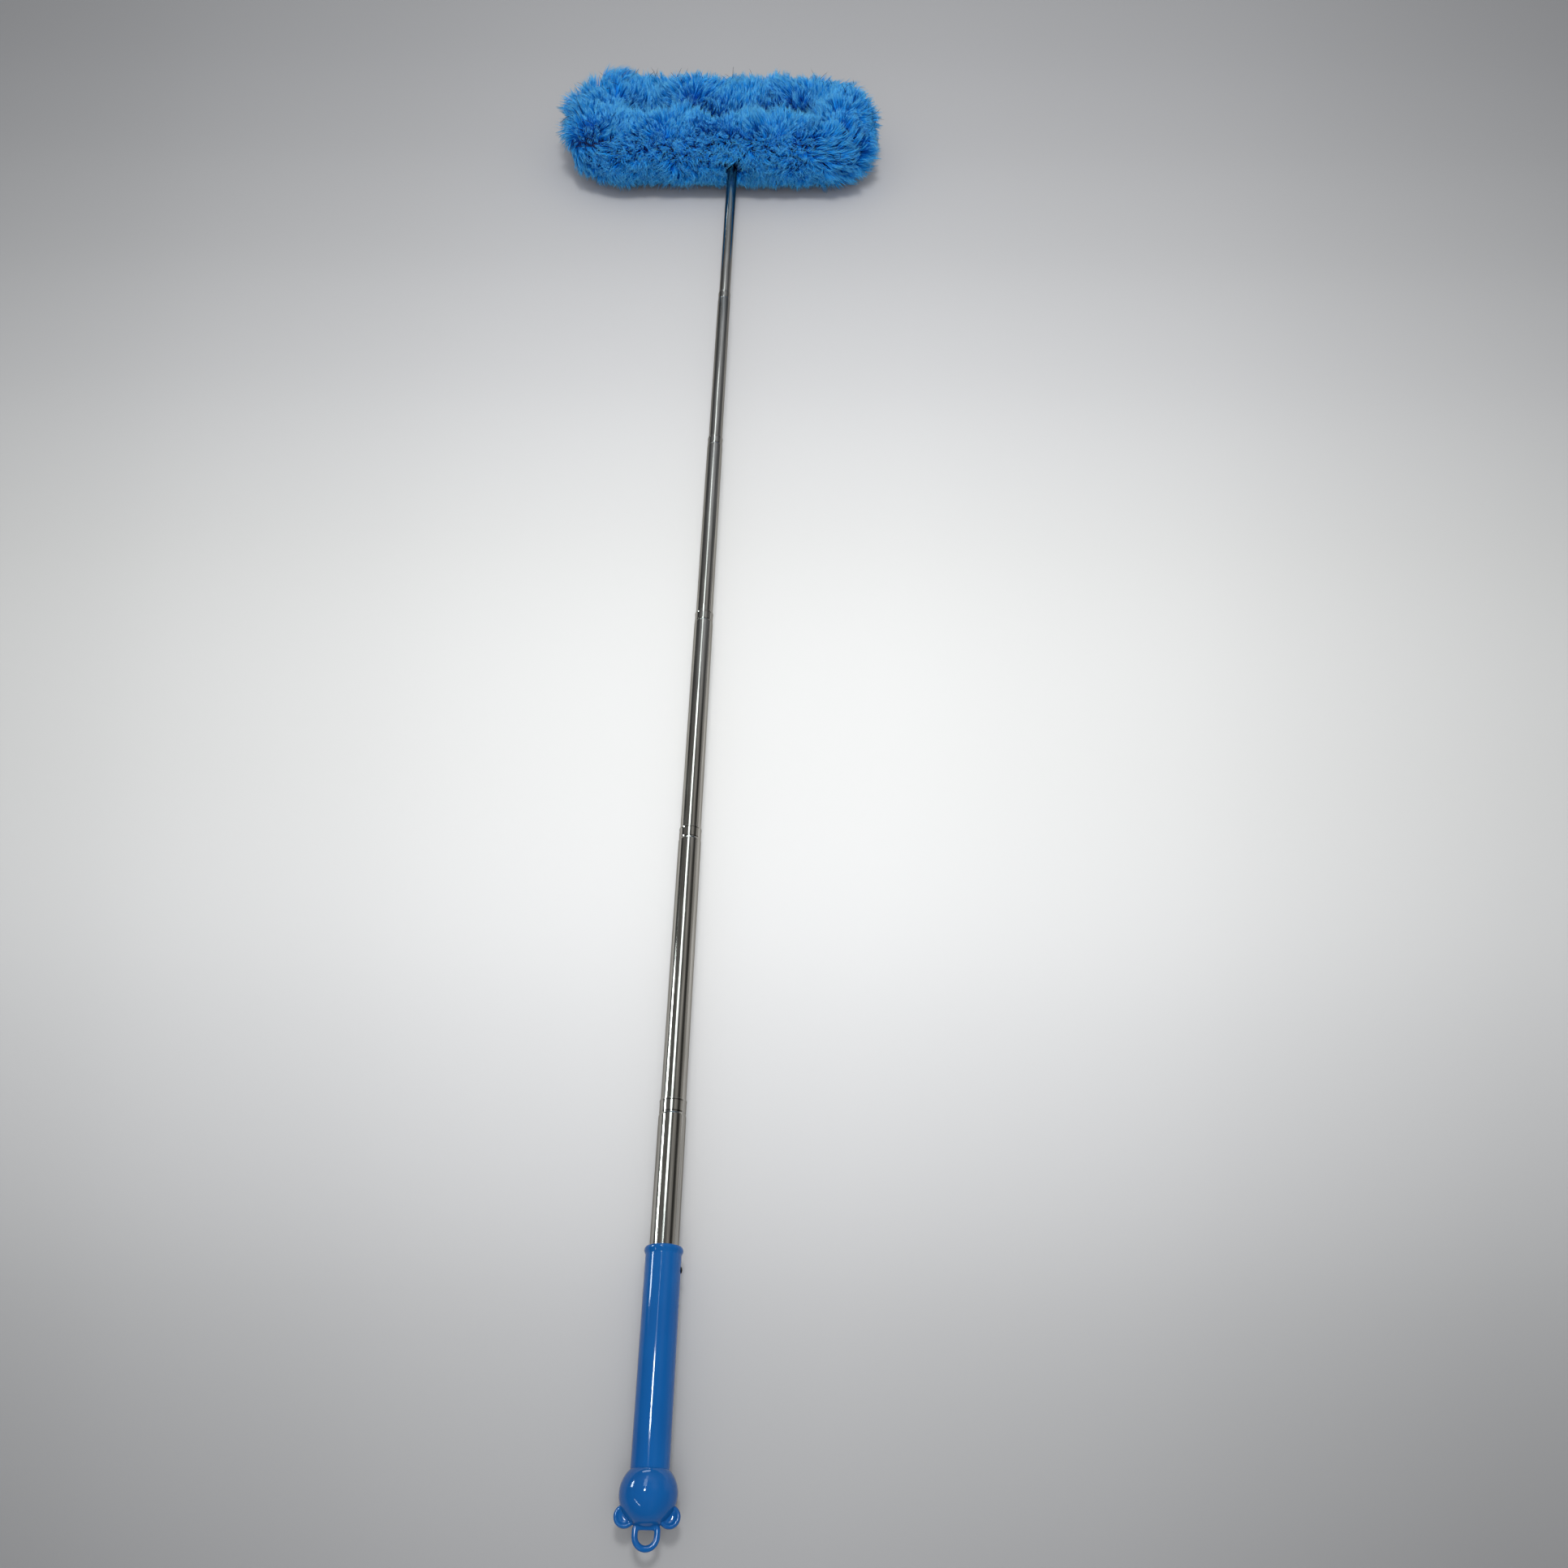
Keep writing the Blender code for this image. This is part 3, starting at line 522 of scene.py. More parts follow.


# The floor's painted light and shade: metres along it and the brightness painted there
FLOOR_PAINTED_LIGHT_ALONG = (
    (-4.2, 0.5), (-1.77, 0.45), (-1.2, 0.17), (-0.951, 0.3), (-0.699, 0.53), (-0.45, 0.79),
    (-0.201, 0.87), (0.051, 0.82), (0.3, 0.71), (0.549, 0.6), (0.801, 0.52), (1.05, 0.47),
    (1.299, 0.44), (1.551, 0.41), (1.8, 0.38), (3.0, 0.45), (4.8, 0.5),
)
# The painted falloff across it, over the sheet's half width there, which grows with Y
FLOOR_PAINTED_LIGHT_ACROSS = (
    (-0.8, 0.55), (-0.6, 0.65), (-0.4, 0.78), (-0.2, 0.91), (0.0, 1.0),
    (0.2, 0.98), (0.4, 0.87), (0.6, 0.72), (0.8, 0.67),
)
FLOOR_WIDENING, FLOOR_HALF_WIDTH, FLOOR_LEAST_WIDTH = 0.574, 1.451, 0.4
# Metres along it and how much more blue than red its painted light is
FLOOR_PAINTED_LIGHT_TINT = (
    (-4.2, 1.022), (-0.96, 1.022), (-0.6, 1.01), (-0.24, 0.992), (0.06, 0.992), (0.36, 1.012),
    (1.05, 1.03), (4.8, 1.03),
)
FLOOR_HEADROOM = 0.9


class PaperFloor(Finish):
    """A pale matt sheet whose colour holds painted light, brightest in the middle.

    Its painted shade falls off towards left and right and more quickly towards the
    near edge, which is how a studio sheet under one overhead lamp looks.
    """

    def pattern(self, tree: Tree) -> dict[str, Any]:
        """Paint light by place on the floor: along Y, then by X over a width that grows with Y.

        The painted cool tint is held down by the headroom, so that no stop passes 1,
        and the painted shade along Y makes up for it.

        Args:
            tree: the material's tree.

        Returns:
            What the shader's inputs are plugged with, by name.
        """
        x, y, _ = add_node(tree, "SeparateXYZ", (add_node(tree, "TexCoord")["Object"],))
        room, growth = FLOOR_HEADROOM, (y, FLOOR_WIDENING, FLOOR_HALF_WIDTH)
        # painted light and shade along Y, put into the floor's colour
        painted_light_along = graded(tree, y, FLOOR_PAINTED_LIGHT_ALONG, (0.995 / room, 1 / room, 1 / room), "CARDINAL")
        wide = add_node(tree, "Math", growth, operation="MULTIPLY_ADD")[0]
        wide = add_node(tree, "Math", (wide, FLOOR_LEAST_WIDTH), operation="MAXIMUM")[0]
        share = add_node(tree, "Math", (x, wide), operation="DIVIDE")[0]
        # painted falloff of light across X
        painted_light_across = graded(tree, share, FLOOR_PAINTED_LIGHT_ACROSS, curve="CARDINAL")
        # painted cool tint of the light, by place along Y
        cool = graded(tree, y, [(at, (room, room, room * blue)) for at, blue in FLOOR_PAINTED_LIGHT_TINT])
        shaded = add_node(tree, "VectorMath", (painted_light_along, painted_light_across), operation="MULTIPLY")[0]
        both = add_node(tree, "VectorMath", (shaded, cool), operation="MULTIPLY")[0]
        return {"Base Color": both, "Specular IOR Level": 0.1}


STEEL = DrawnSteel("drawn stainless steel", "#ADAAA4", 0.13, 1.0)
BLUE_PLASTIC = MouldedPlastic("glossy moulded ABS, blue", "#14579A", 0.055, ior=1.38)
PILE = MicrofibrePile("microfibre pile, blue", "#2A78C8", 0.55)
BACKING = KnittedBacking("knitted polyester backing", "#0B2F70", 0.9)
NYLON = GrainedPlastic("moulded nylon, black", "#2E2E30", 0.5, ior=1.53)
SLEEVE_FILM = GrainedPlastic("acetal sleeve, grey", "#9FA2A6", 0.4, ior=1.48)
DARK_SCREW = DrawnSteel("blackened steel screw", "#3A3A3E", 0.3, 1.0)
BENT_ROD = DrawnSteel("bright bent steel wire", "#B8B8B8", 0.22, 1.0)
# the floor's colour carries painted light and shade
FLOOR = PaperFloor("matt paper sheet", "#F0F0F0", 0.9)


def dress(thing: Thing, material: Material) -> None:
    """Give an object one material in place of any it has."""
    thing.data.materials.clear()
    thing.data.materials.append(material)


def settle(
    thing: Thing, material: Material, body: Body, slot: Slot, *nodes: str, crease: float = 0.0
) -> None:
    """Dress a new piece, put it on its body and let it stand for its CAD nodes.

    Args:
        thing: the new piece.
        material: its material.
        body: the body that it rides on.
        slot: the record's slot for it; not used.
        *nodes: the CAD nodes that it replaces.
        crease: the angle in degrees from which an edge looks sharp, or none.
    """
    if crease:
        thing.data.set_sharp_from_angle(angle=math.radians(crease))
    dress(thing, material)
    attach(thing, body.value)
    if nodes:
        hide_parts(*nodes)
    LOG.info("%s: %d faces on %s", thing.name, len(thing.data.polygons), body.value)


# --------------------------------------------------------- pole and handle


@dataclass(frozen=True)
class PoleAxis:
    """The pole's own axes: across (X), up from its line, and along it from the ball."""

    ball_radius: float = 20.3 * MM
    pile_radius: float = 45 * MM
    front_bar: float = 1604.5 * MM
    side_offset: float = 18 * MM
    start: float = -0.8569985

    @property
    def rise(self) -> float:
        """The angle at which the pole rises from the ball to the front bar."""
        return math.asin((self.pile_radius - self.ball_radius) / self.front_bar)

    def place(self, points: Array) -> Array:
        """Turn points from the pole's axes to the row frame: by the rise, then to the start.

        Args:
            points: (..., 3), across, up and along.

        Returns:
            (..., 3) in the row frame.
        """
        c, s = math.cos(self.rise), math.sin(self.rise)
        across, up, along = np.moveaxis(points, -1, 0)
        y = self.start + along * c - up * s
        z = self.ball_radius + along * s + up * c
        return np.stack([self.side_offset + across, y, z], -1)

    def sideways(self, skin: Skin, along: float) -> Skin:
        """Lay a turned skin with its axis across the pole and place it in the row frame."""
        x, y, z = skin.points.T
        return replace(skin, points=self.place(np.stack([z, x, y + along], -1)))


@dataclass
class TelescopicPole:
    """Six drawn tubes, each with a swaged neck and a rolled lip that guide the next."""

    axis: PoleAxis
    base_radius: float = 11 * MM
    radius_step: float = 0.9 * MM
    wall: float = 0.4 * MM
    shown: float = 256 * MM
    base_top: float = 280.5 * MM
    base_foot: float = 29.1 * MM
    engaged: float = 30 * MM
    tip_top: float = 1578.2 * MM
    neck_length: float = 11.5 * MM
    shoulder_length: float = 1.3 * MM
    neck_clearance: float = 0.15 * MM
    lip_rise: float = 0.26 * MM
    lip_length: float = 1.1 * MM
    groove: float = 0.26 * MM
    steps: int = 96

    def radius(self, number: int) -> float:
        """Outer radius of a tube, counted from 0 at the handle."""
        return self.base_radius - self.radius_step * number

    def top(self, number: int) -> float:
        """Place along the pole of a tube's upper end."""
        last = number == len(Body) - 1
        return self.tip_top if last else self.base_top + self.shown * number

    def profile(self, number: int) -> Array:
        """The closed wall section of one tube, as radius and place along the pole.

        Args:
            number: the tube, from 0.

        Returns:
            m x 2 points, outside first, then the bore.
        """
        radius, top = self.radius(number), self.top(number)
        bore = radius - self.wall
        foot = self.top(number - 1) - self.engaged if number else self.base_foot
        if number == len(Body) - 1:
            edge = 0.15 * MM
            ends = [(bore, top, 0), (radius, top, edge), (radius, foot, edge), (bore, foot, 0)]
            return rounded(ends, 3)
        inner = self.radius(number + 1) + self.neck_clearance
        neck = inner + self.wall
        crest, dip = neck + self.lip_rise, neck - self.groove
        waist = top - self.neck_length
        shoulder = waist - self.shoulder_length
        lip = top - self.lip_length
        corners = [
            (inner, top, 0),
            (crest, top, 0.3 * MM),
            (crest, lip, 0.3 * MM),
            (neck, lip - 0.5 * MM, 0.2 * MM),
            (neck, waist + 1.4 * MM, 0.3 * MM),
            (dip, waist + 0.6 * MM, 0.3 * MM),
            (dip, waist, 0.2 * MM),
            (radius, shoulder, 0.45 * MM),
            (radius, foot, 0.1 * MM),
            (bore, foot, 0.1 * MM),
            (bore, shoulder, 0.2 * MM),
            (inner, waist, 0.2 * MM),
        ]
        return rounded(corners, 4)

    def build(self, material: Material) -> None:
        """Make the six tubes.

        Args:
            material: their steel.
        """
        for number, body in enumerate(Body):
            skin = turned(self.profile(number), self.steps, True).moved(self.axis.place)
            tube = make_piece(f"tube_{number + 1}_drawn", skin)
            settle(tube, material, body, Slot.STEEL, f"tube_{number + 1}", crease=50)


@dataclass
class SetScrew:
    """The domed set screw at the side of the grip, with a socket for its key."""

    axis: PoleAxis
    along: float = 149.5 * MM
    inner_end: float = 11.3 * MM
    seat: float = 13.35 * MM
    head_height: float = 1.2 * MM
    head_radius: float = 2.35 * MM
    shank_radius: float = 1.4 * MM
    key_radius: float = 0.9 * MM
    key_depth: float = 0.7 * MM

    def build(self, material: Material) -> None:
        """Turn the screw's profile about its own axis, which points to +X.

        Args:
            material: its blackened steel.
        """
        top = self.seat + self.head_height
        corners = [
            (0, top - self.key_depth, 0),
            (self.key_radius, top - self.key_depth, 0.1 * MM),
            (self.key_radius, top, 0.15 * MM),
            (self.head_radius * 0.6, top - 0.05 * MM, 0.4 * MM),
            (self.head_radius, top - self.head_height * 0.5, 0.3 * MM),
            (self.head_radius, self.seat, 0.1 * MM),
            (self.shank_radius, self.seat, 0.1 * MM),
            (self.shank_radius, self.inner_end, 0.1 * MM),
            (0, self.inner_end, 0),
        ]
        skin = turned(rounded(corners, 4), 40, False)
        screw = make_piece("set_screw", self.axis.sideways(skin, self.along))
        settle(screw, material, Body.HANDLE, Slot.DARK_STEEL, "grip_screw", crease=40)


@dataclass
class MouldedGrip:
    """The grip: a long smooth sleeve with a rounded collar and a seat for its screw."""

    axis: PoleAxis
    screw_along: float
    foot: float = 14.8 * MM
    top: float = 165.5 * MM
    radius: float = 13.65 * MM
    bore: float = 11.3 * MM
    collar_rise: float = 1.1 * MM
    collar_length: float = 6.0 * MM
    collar_widest: float = 0.36
    seat_radius: float = 2.65 * MM
    seat_depth: float = 0.6 * MM
    cutter_length: float = 8 * MM
    steps: int = 128
    collar_steps: int = 48

    def profile(self) -> Array:
        """The grip's wall section.

        The collar is a bead round the mouth. At a share s of its length
        it stands out by the square root of 1 - (1 - s/m)^2 down to its widest
        place m, and by half of 1 + cos(pi (s - m) / (1 - m)) below that.

        Returns:
            m x 2 radius and place along the pole, a closed ring.
        """
        widest = self.collar_widest
        share = (1 - np.cos(np.linspace(0, math.pi, self.collar_steps))) / 2
        above = np.sqrt(1 - (1 - np.minimum(share / widest, 1)) ** 2)
        below = 0.5 + 0.5 * np.cos(math.pi * np.clip((share - widest) / (1 - widest), 0, 1))
        out = self.radius + self.collar_rise * above * below
        bead = np.stack([out, self.top - self.collar_length * share], -1)
        corners = [
            (self.radius, self.top - self.collar_length, 0),
            (self.radius, self.foot, 0.05 * MM),
            (self.bore, self.foot, 0.1 * MM),
            (self.bore, self.top, 0.25 * MM),
            (self.radius, self.top, 0),
        ]
        return np.concatenate([bead, rounded(corners)[1:-1]])

    def build(self, material: Material) -> None:
        """Make the grip, with a round seat for its set screw cut by a boolean.

        Args:
            material: its plastic.
        """
        skin = turned(self.profile(), self.steps, True).moved(self.axis.place)
        grip = make_piece("grip_moulded", skin)
        low, r = self.radius - self.seat_depth, self.seat_radius
        high = low + self.cutter_length
        drill = turned(np.array([(0.0, low), (r, low), (r, high), (0.0, high)]), 40, False)
        cutter = make_piece("screw_seat_cutter", self.axis.sideways(drill, self.screw_along))
        joined(grip, "DIFFERENCE", [cutter])
        settle(grip, material, Body.HANDLE, Slot.PLASTIC, "grip_sleeve", crease=40)


@dataclass
class EndBall:
    """The ball that closes the grip, moulded in one with two dished ears and a D ring."""

    axis: PoleAxis
    spigot_radius: float = 11 * MM
    spigot_top: float = 27.0 * MM
    seam: float = 15.03 * MM
    ear_radius: float = 7.6 * MM
    ear_thickness: float = 5.6 * MM
    ear_dish_radius: float = 5.5 * MM
    ear_dish_depth: float = 1.5 * MM
    ear_distance: float = 20.6 * MM
    ear_angle: float = math.radians(42)
    ring_wire: float = 2.2 * MM
    ring_half_width: float = 7.6 * MM
    ring_straight_end: float = 25.5 * MM
    ring_corner: float = 2.0 * MM
    ring_sides: int = 24
    ring_sunk: float = 0.4 * MM
    skin: float = 0.42 * MM
    smoothing: int = 9
    seam_margin: float = 0.6 * MM
    pull_reach: tuple[float, float] = (0.12 * MM, 0.5 * MM)

    def ball(self) -> Skin:
        """The ball with its spigot: r = R sin t, height = R cos t below the seam.

        Returns:
            The solid in the pole's axes.
        """
        radius, spigot = self.axis.ball_radius, self.spigot_radius
        t = np.linspace(math.acos(self.seam / radius), math.pi, 48)
        arc = np.stack([radius * np.sin(t), radius * np.cos(t)], -1)
        arc[-1, 0] = 0
        stem = [(0, self.spigot_top), (spigot, self.spigot_top), (spigot, self.seam)]
        return turned(np.concatenate([stem, arc]), 96, False)

    def ear(self, side: int) -> Skin:
        """A round disc with a rolled rim and a dish in the face that looks up.

        Args:
            side: -1 for the left ear and 1 for the right one.

        Returns:
            The ear in the pole's axes.
        """
        half, r, dish = self.ear_thickness / 2, self.ear_radius, self.ear_dish_radius
        corners = [
            (0, half - self.ear_dish_depth, 0),
            (dish * 0.7, half - self.ear_dish_depth, 1.8 * MM),
            (dish, half - 0.1 * MM, 0.5 * MM),
            (r - 1.0 * MM, half, 0.7 * MM),
            (r, half - 1.3 * MM, 1.0 * MM),
            (r, 1.3 * MM - half, 1.0 * MM),
            (r - 1.3 * MM, -half, 1.0 * MM),
            (0, -half, 0),
        ]
        across = side * self.ear_distance * math.cos(self.ear_angle)
        along = -self.ear_distance * math.sin(self.ear_angle)
        disc = turned(rounded(corners, 6), 64, False)
        return disc.moved(lambda p: np.stack([p[:, 0] + across, p[:, 2], p[:, 1] + along], -1))

    def ring(self) -> Skin:
        """A round wire carried along a D-shaped line whose flat side is in the ball.

        The line is a half circle and two quarter circles. Each point is
        line + wire radius (cos a sideways + sin a up).

        Returns:
            The ring in the pole's axes.
        """
        bar = self.ring_sunk - self.axis.ball_radius
        w, c = self.ring_half_width, self.ring_corner
        t = np.linspace(0, math.pi, 40)
        bend = np.stack([-w * np.cos(t), -self.ring_straight_end - w * np.sin(t)], -1)
        q = np.linspace(0, math.pi / 2, 6)
        right = np.stack([w - c + c * np.cos(q), bar - c + c * np.sin(q)], -1)
        left = np.stack([c - w - c * np.sin(q), bar - c + c * np.cos(q)], -1)
        line = np.concatenate([bend, right, left])
        ahead = np.roll(line, -1, 0) - np.roll(line, 1, 0)
        ahead /= np.linalg.norm(ahead, axis=1)[:, None]
        a = np.linspace(0, TURN, self.ring_sides, endpoint=False)
        reach, up = np.cos(a) * self.ring_wire, np.sin(a) * self.ring_wire
        x = line[:, :1] + ahead[:, 1:] * reach
        y = line[:, 1:] - ahead[:, :1] * reach
        points = np.stack([x, up + 0 * x, y], -1).reshape(-1, 3)
        return Skin(points, net(len(line), self.ring_sides, True))

    def build(self, material: Material) -> None:
        """Melt the solids into one skin and smooth their joins.

        A voxel remesh joins them, a Laplacian-like smoothing rounds the
        joins, and points within half a millimetre of the ball's own surface
        are drawn back onto it, so that it stays a true sphere.

        Args:
            material: the plastic.
        """
        solids = [self.ball(), self.ear(-1), self.ear(1), self.ring()]
        whole, *others = [make_piece("end_ball_moulded", solid) for solid in solids]
        remesh = {"mode": "VOXEL", "voxel_size": self.skin, "use_smooth_shade": True}
        soften = {"factor": 0.5, "iterations": self.smoothing}
        joined(whole, "UNION", others, ("REMESH", remesh), ("SMOOTH", soften))
        mesh = whole.data
        points = np.empty((len(mesh.vertices), 3), np.float32)
        mesh.vertices.foreach_get("co", points.ravel())
        points = points.astype(float)
        reach = np.linalg.norm(points, axis=1)
        off = np.abs(reach - self.axis.ball_radius)
        below = points[:, 2] < self.seam - self.seam_margin
        pull = (1 - ease(*self.pull_reach, off)) * below
        points *= (1 + (self.axis.ball_radius / reach - 1) * pull)[:, None]
        mesh.vertices.foreach_set("co", self.axis.place(points).astype(np.float32).ravel())
        mesh.polygons.foreach_set("use_smooth", np.ones(len(mesh.polygons), bool))
        mesh.update()
        settle(whole, material, Body.HANDLE, Slot.PLASTIC, "end_ball")


# ------------------------------------------------------------- plush head


@dataclass(frozen=True)
class Waves:
    """A smooth field that closes along the loop and round it: a sum of sines.

    Each has from least to most waves along the loop, and up to so many turns
    round it.
    """

    height: float
    seed: int
    terms: int
    least: int
    most: int
    turns: int


@dataclass(frozen=True)
class LoopPath:
    """The head's centre line: a rounded rectangle in the plane of the pole.

    Distance u runs anticlockwise, seen from above, from the left end of the
    straight front bar. Angle f is 0 outwards and 90 degrees upwards.
    """

    axis: PoleAxis
    half_length: float = 170 * MM
    half_width: float = 50 * MM
    corner: float = 45 * MM

    @property
    def front(self) -> float:
        """Length of a straight bar."""
        return 2 * (self.half_length - self.corner)

    @property
    def end(self) -> float:
        """Length of one end with its two bends."""
        return math.pi * self.corner + 2 * (self.half_width - self.corner)

    @property
    def length(self) -> float:
        """Length of the whole loop."""
        return 2 * (self.front + self.end)

    @property
    def pole_at(self) -> float:
        """Distance at which the pole meets the front bar."""
        return self.front / 2 + self.axis.side_offset

    def chord(self, step: Array, heading: Array, curve: Array) -> Array:
        """Where a step ends: s sinc(k s / 2) long, towards the heading plus half the turn k s."""
        half = curve * step / 2
        reach = step * np.sinc(half / math.pi)
        return np.stack([reach * np.cos(heading + half), reach * np.sin(heading + half)], -1)

    def centre(self, u: Array) -> tuple[Array, Array]:
        """Points on the centre line and its heading, run by run.

        Args:
            u: distances of any shape.

        Returns:
            Points (..., 2) in the head's plane, from the pole's end, and headings.
        """
        bend, side = math.pi / 2 * self.corner, 2 * (self.half_width - self.corner)
        runs = np.array([self.front, bend, side, bend] * 2)
        curves = np.array([0.0, 1 / self.corner] * 4)
        begins, headings = (np.cumsum(part) - part for part in (runs, runs * curves))
        chords = self.chord(runs, headings, curves)
        corners = np.cumsum(chords, 0) - chords - (self.pole_at, 0.0)
        u = np.asarray(u) % self.length
        run = np.searchsorted(begins, u, side="right") - 1
        step, heading, curve = u - begins[run], headings[run], curves[run]
        return corners[run] + self.chord(step, heading, curve), heading + curve * step

    def around(self, u: Array, angle: Array, radius: Array | float) -> Array:
        """Points round the centre line: centre + r (cos f outward + sin f up).

        Args:
            u: distances.
            angle: angles f.
            radius: distances r from the centre line.

        Returns:
            (..., 3) in the head's axes: across, along the pole from the front bar, up.
        """
        flat, h = self.centre(u)
        reach, up = np.cos(angle) * radius, np.sin(angle) * radius
        x, y = flat[..., 0] + np.sin(h) * reach, flat[..., 1] - np.cos(h) * reach
        return np.stack([x, y, up + 0 * x], -1)

    def place(self, points: Array) -> Array:
        """Turn points (..., 3) from the head's axes to the row frame."""
        across, along, up = np.moveaxis(points, -1, 0)
        return self.axis.place(np.stack([across, up, along + self.axis.front_bar], -1))

    def waves(self, u: Array, angle: Array, field: Waves) -> Array:
        """A smooth field: the height times the sum of sin(2 pi k u / length + m f + p).

        Args:
            u: distances along the loop.
            angle: angles round it.
            field: its height, seed and numbers of waves.

        Returns:
            The field, between about minus its height and its height.
        """
        chance = np.random.default_rng(field.seed)
        k = chance.integers(field.least, field.most + 1, field.terms)
        m = chance.integers(-field.turns, field.turns + 1, field.terms)
        p = chance.uniform(0, TURN, field.terms)
        phase = u[..., None] * (TURN * k / self.length) + angle[..., None] * m + p
        return field.height * (np.sin(phase).sum(-1) * math.sqrt(2 / field.terms) * 0.7)


@dataclass(frozen=True)
class Whorl:
    """A place that the pile lies away from."""

    u: float
    degrees: float
    reach: float
    push: float


@dataclass(frozen=True)
class Peak:
    """A place where the pile stands longer."""

    u: float
    degrees: float
    reach: float
    growth: float


@dataclass(frozen=True)
class Parting:
    """A line where the pile is short and leans away, or where below nothing, a ridge."""

    start: tuple[float, float]
    end: tuple[float, float]
    half_width: float
    depth: float
    push: float


@dataclass
class PlushHead:
    """The pile of the head: a knitted backing and some seventy thousand strands.

    The strands stand in locks. Each lock leans as a slow flow over the head
    tells it, with whorls and partings where the photograph shows them. A
    strand stands for a bundle of fibres, because one is too fine to show.

    A pair is the least and the most that is drawn: a share for the lengths
    and widths of locks, tresses and strands, millimetres for curls. A scatter
    is the lean's spread and what the curly patch adds to it. What calms,
    shortens, droops or grows is a share. The mouth's tuft has its place and
    reach in degrees, its lean and its growth. The blunt end has the share that
    it loses, and how far from its middle that starts and stops to fade.
    """

    loop: LoopPath
    root_radius: float = 25 * MM
    backing_radius: float = 28 * MM
    backing_bore: float = 10 * MM
    mouth_bore: float = 12.6 * MM
    backing_step: float = 2.5 * MM
    backing_gap: float = 0.15 * MM
    tube_columns: int = 56
    shell_columns: int = 44
    bore_columns: int = 24
    cap_share: float = 0.7
    lumps: Waves = Waves(1.2 * MM, 21, 14, 20, 90, 9)
    pile_length: float = 26 * MM
    surface_radius: float = 40 * MM
    strands_along: int = 720
    strands_around: int = 112
    locks_along: int = 140
    locks_around: int = 44
    tress_share: int = 2
    jitter: tuple[float, float] = (0.05, 0.95)
    segments: int = 4
    substeps: int = 4
    root_half_width: float = 0.52 * MM
    tip_half_width: float = 0.14 * MM
    most_lean: float = 1.35
    lock_scatter: tuple[float, float] = (0.20, 0.28)
    strand_scatter: tuple[float, float] = (0.15, 0.30)
    lock_lengths: tuple[float, float] = (0.80, 1.14)
    tress_lengths: tuple[float, float] = (0.84, 1.1)
    strand_lengths: tuple[float, float] = (0.88, 1.05)
    strand_widths: tuple[float, float] = (0.8, 1.25)
    curl_widths: tuple[float, float] = (0.4, 2.2)
    curl_grows: float = 2.2
    tress_curl: float = 0.7
    lock_tone: float = 0.6
    gather: tuple[float, float] = (0.22, 0.55)
    tress_gather: float = 0.55
    gather_power: float = 1.4
    taper_power: float = 1.4
    bend_power: float = 2.5
    curl_turn: float = 6
    floor_clearance: float = 0.4 * MM
    tube_clearance: float = 8.0 * MM
    socket_clearance: float = 10.4 * MM
    socket_reach: float = 30 * MM
    clear_from: float = 8 * MM
    mouth_half_width: float = 16 * MM
    bare_half_width: float = 11 * MM
    bare_degrees: float = 22
    under_bare: float = 0.55
    top_height: float = 103.5 * MM
    top_room: float = 9 * MM
    strays: int = 70
    stray_width: float = 0.95
    stray_places: tuple[float, float] = (0.262, 0.80)
    stray_degrees: tuple[float, float] = (25, 95)
    stray_lengths: tuple[float, float] = (30 * MM, 40 * MM)
    stray_lean: float = 0.75
    stray_curls: tuple[float, float] = (1.5, 4.0)
    corner_growth: tuple[float, float, float, float] = (0.55, 0.62, 0.60, -0.05)
    corner_power: float = 1.5
    seed: int = 11
    flow_along: Waves = Waves(0.60, 3, 9, 4, 12, 3)
    flow_around: Waves = Waves(0.55, 4, 9, 4, 12, 3)
    flow_length: Waves = Waves(0.12, 5, 9, 8, 24, 6)
    slot_waver: Waves = Waves(1.0, 8, 6, 5, 12, 0)
    slot_degrees: float = 144
    slot_calms: float = 0.5
    slot_lean: float = 0.66
    slot_lean_waver: float = 0.45
    slot_growth: float = 0.44
    slot_growth_waver: float = 0.20
    curly_shares: tuple[float, float] = (0.42, 0.62)
    curly_degrees: Triple = (-15, 60, 125)
    curl_calms: float = 0.45
    curl_droops: float = 0.20
    curl_shortens: float = 0.14
    under_shortens: float = 0.16
    top_shortens: float = 0.12
    mouth_tuft: tuple[float, float, float, float] = (50, 34, 1.4, 0.25)
    blunt_end: Triple = (0.24, 40 * MM, 95 * MM)
    peaks: tuple[Peak, ...] = (Peak(0.671, 66, 12 * MM, 0.60),)
    whorl_eye: float = 5 * MM
    whorl_calms: float = 0.8
    parting_reach: float = 2.2
    whorls: tuple[Whorl, ...] = (
        Whorl(0.682, 122, 26 * MM, 1.4),
        Whorl(0.311, 112, 24 * MM, 0.7),
    )
    partings: tuple[Parting, ...] = (
        Parting((0.090, 15), (0.140, 10), 3.5 * MM, 0.45, 0.7),
        Parting((0.285, 74), (0.288, 56), 6.5 * MM, 0.90, 1.3),
        Parting((0.277, 74), (0.283, 22), 3.5 * MM, -0.30, -0.6),
        Parting((0.755, 18), (0.790, 58), 4 * MM, 0.4, 0.6),
        Parting((0.153, -10), (0.165, 2), 3 * MM, 0.4, 0.6),
    )

    def offset(self, u: Array, angle: Array, from_u: Any, from_angle: Any) -> tuple[Array, Array]:
        """How far roots are from others along the loop and round it, on the pile's surface."""
        dy = way_from(angle, from_angle) * self.surface_radius
        return way_from(u, from_u, self.loop.length), dy

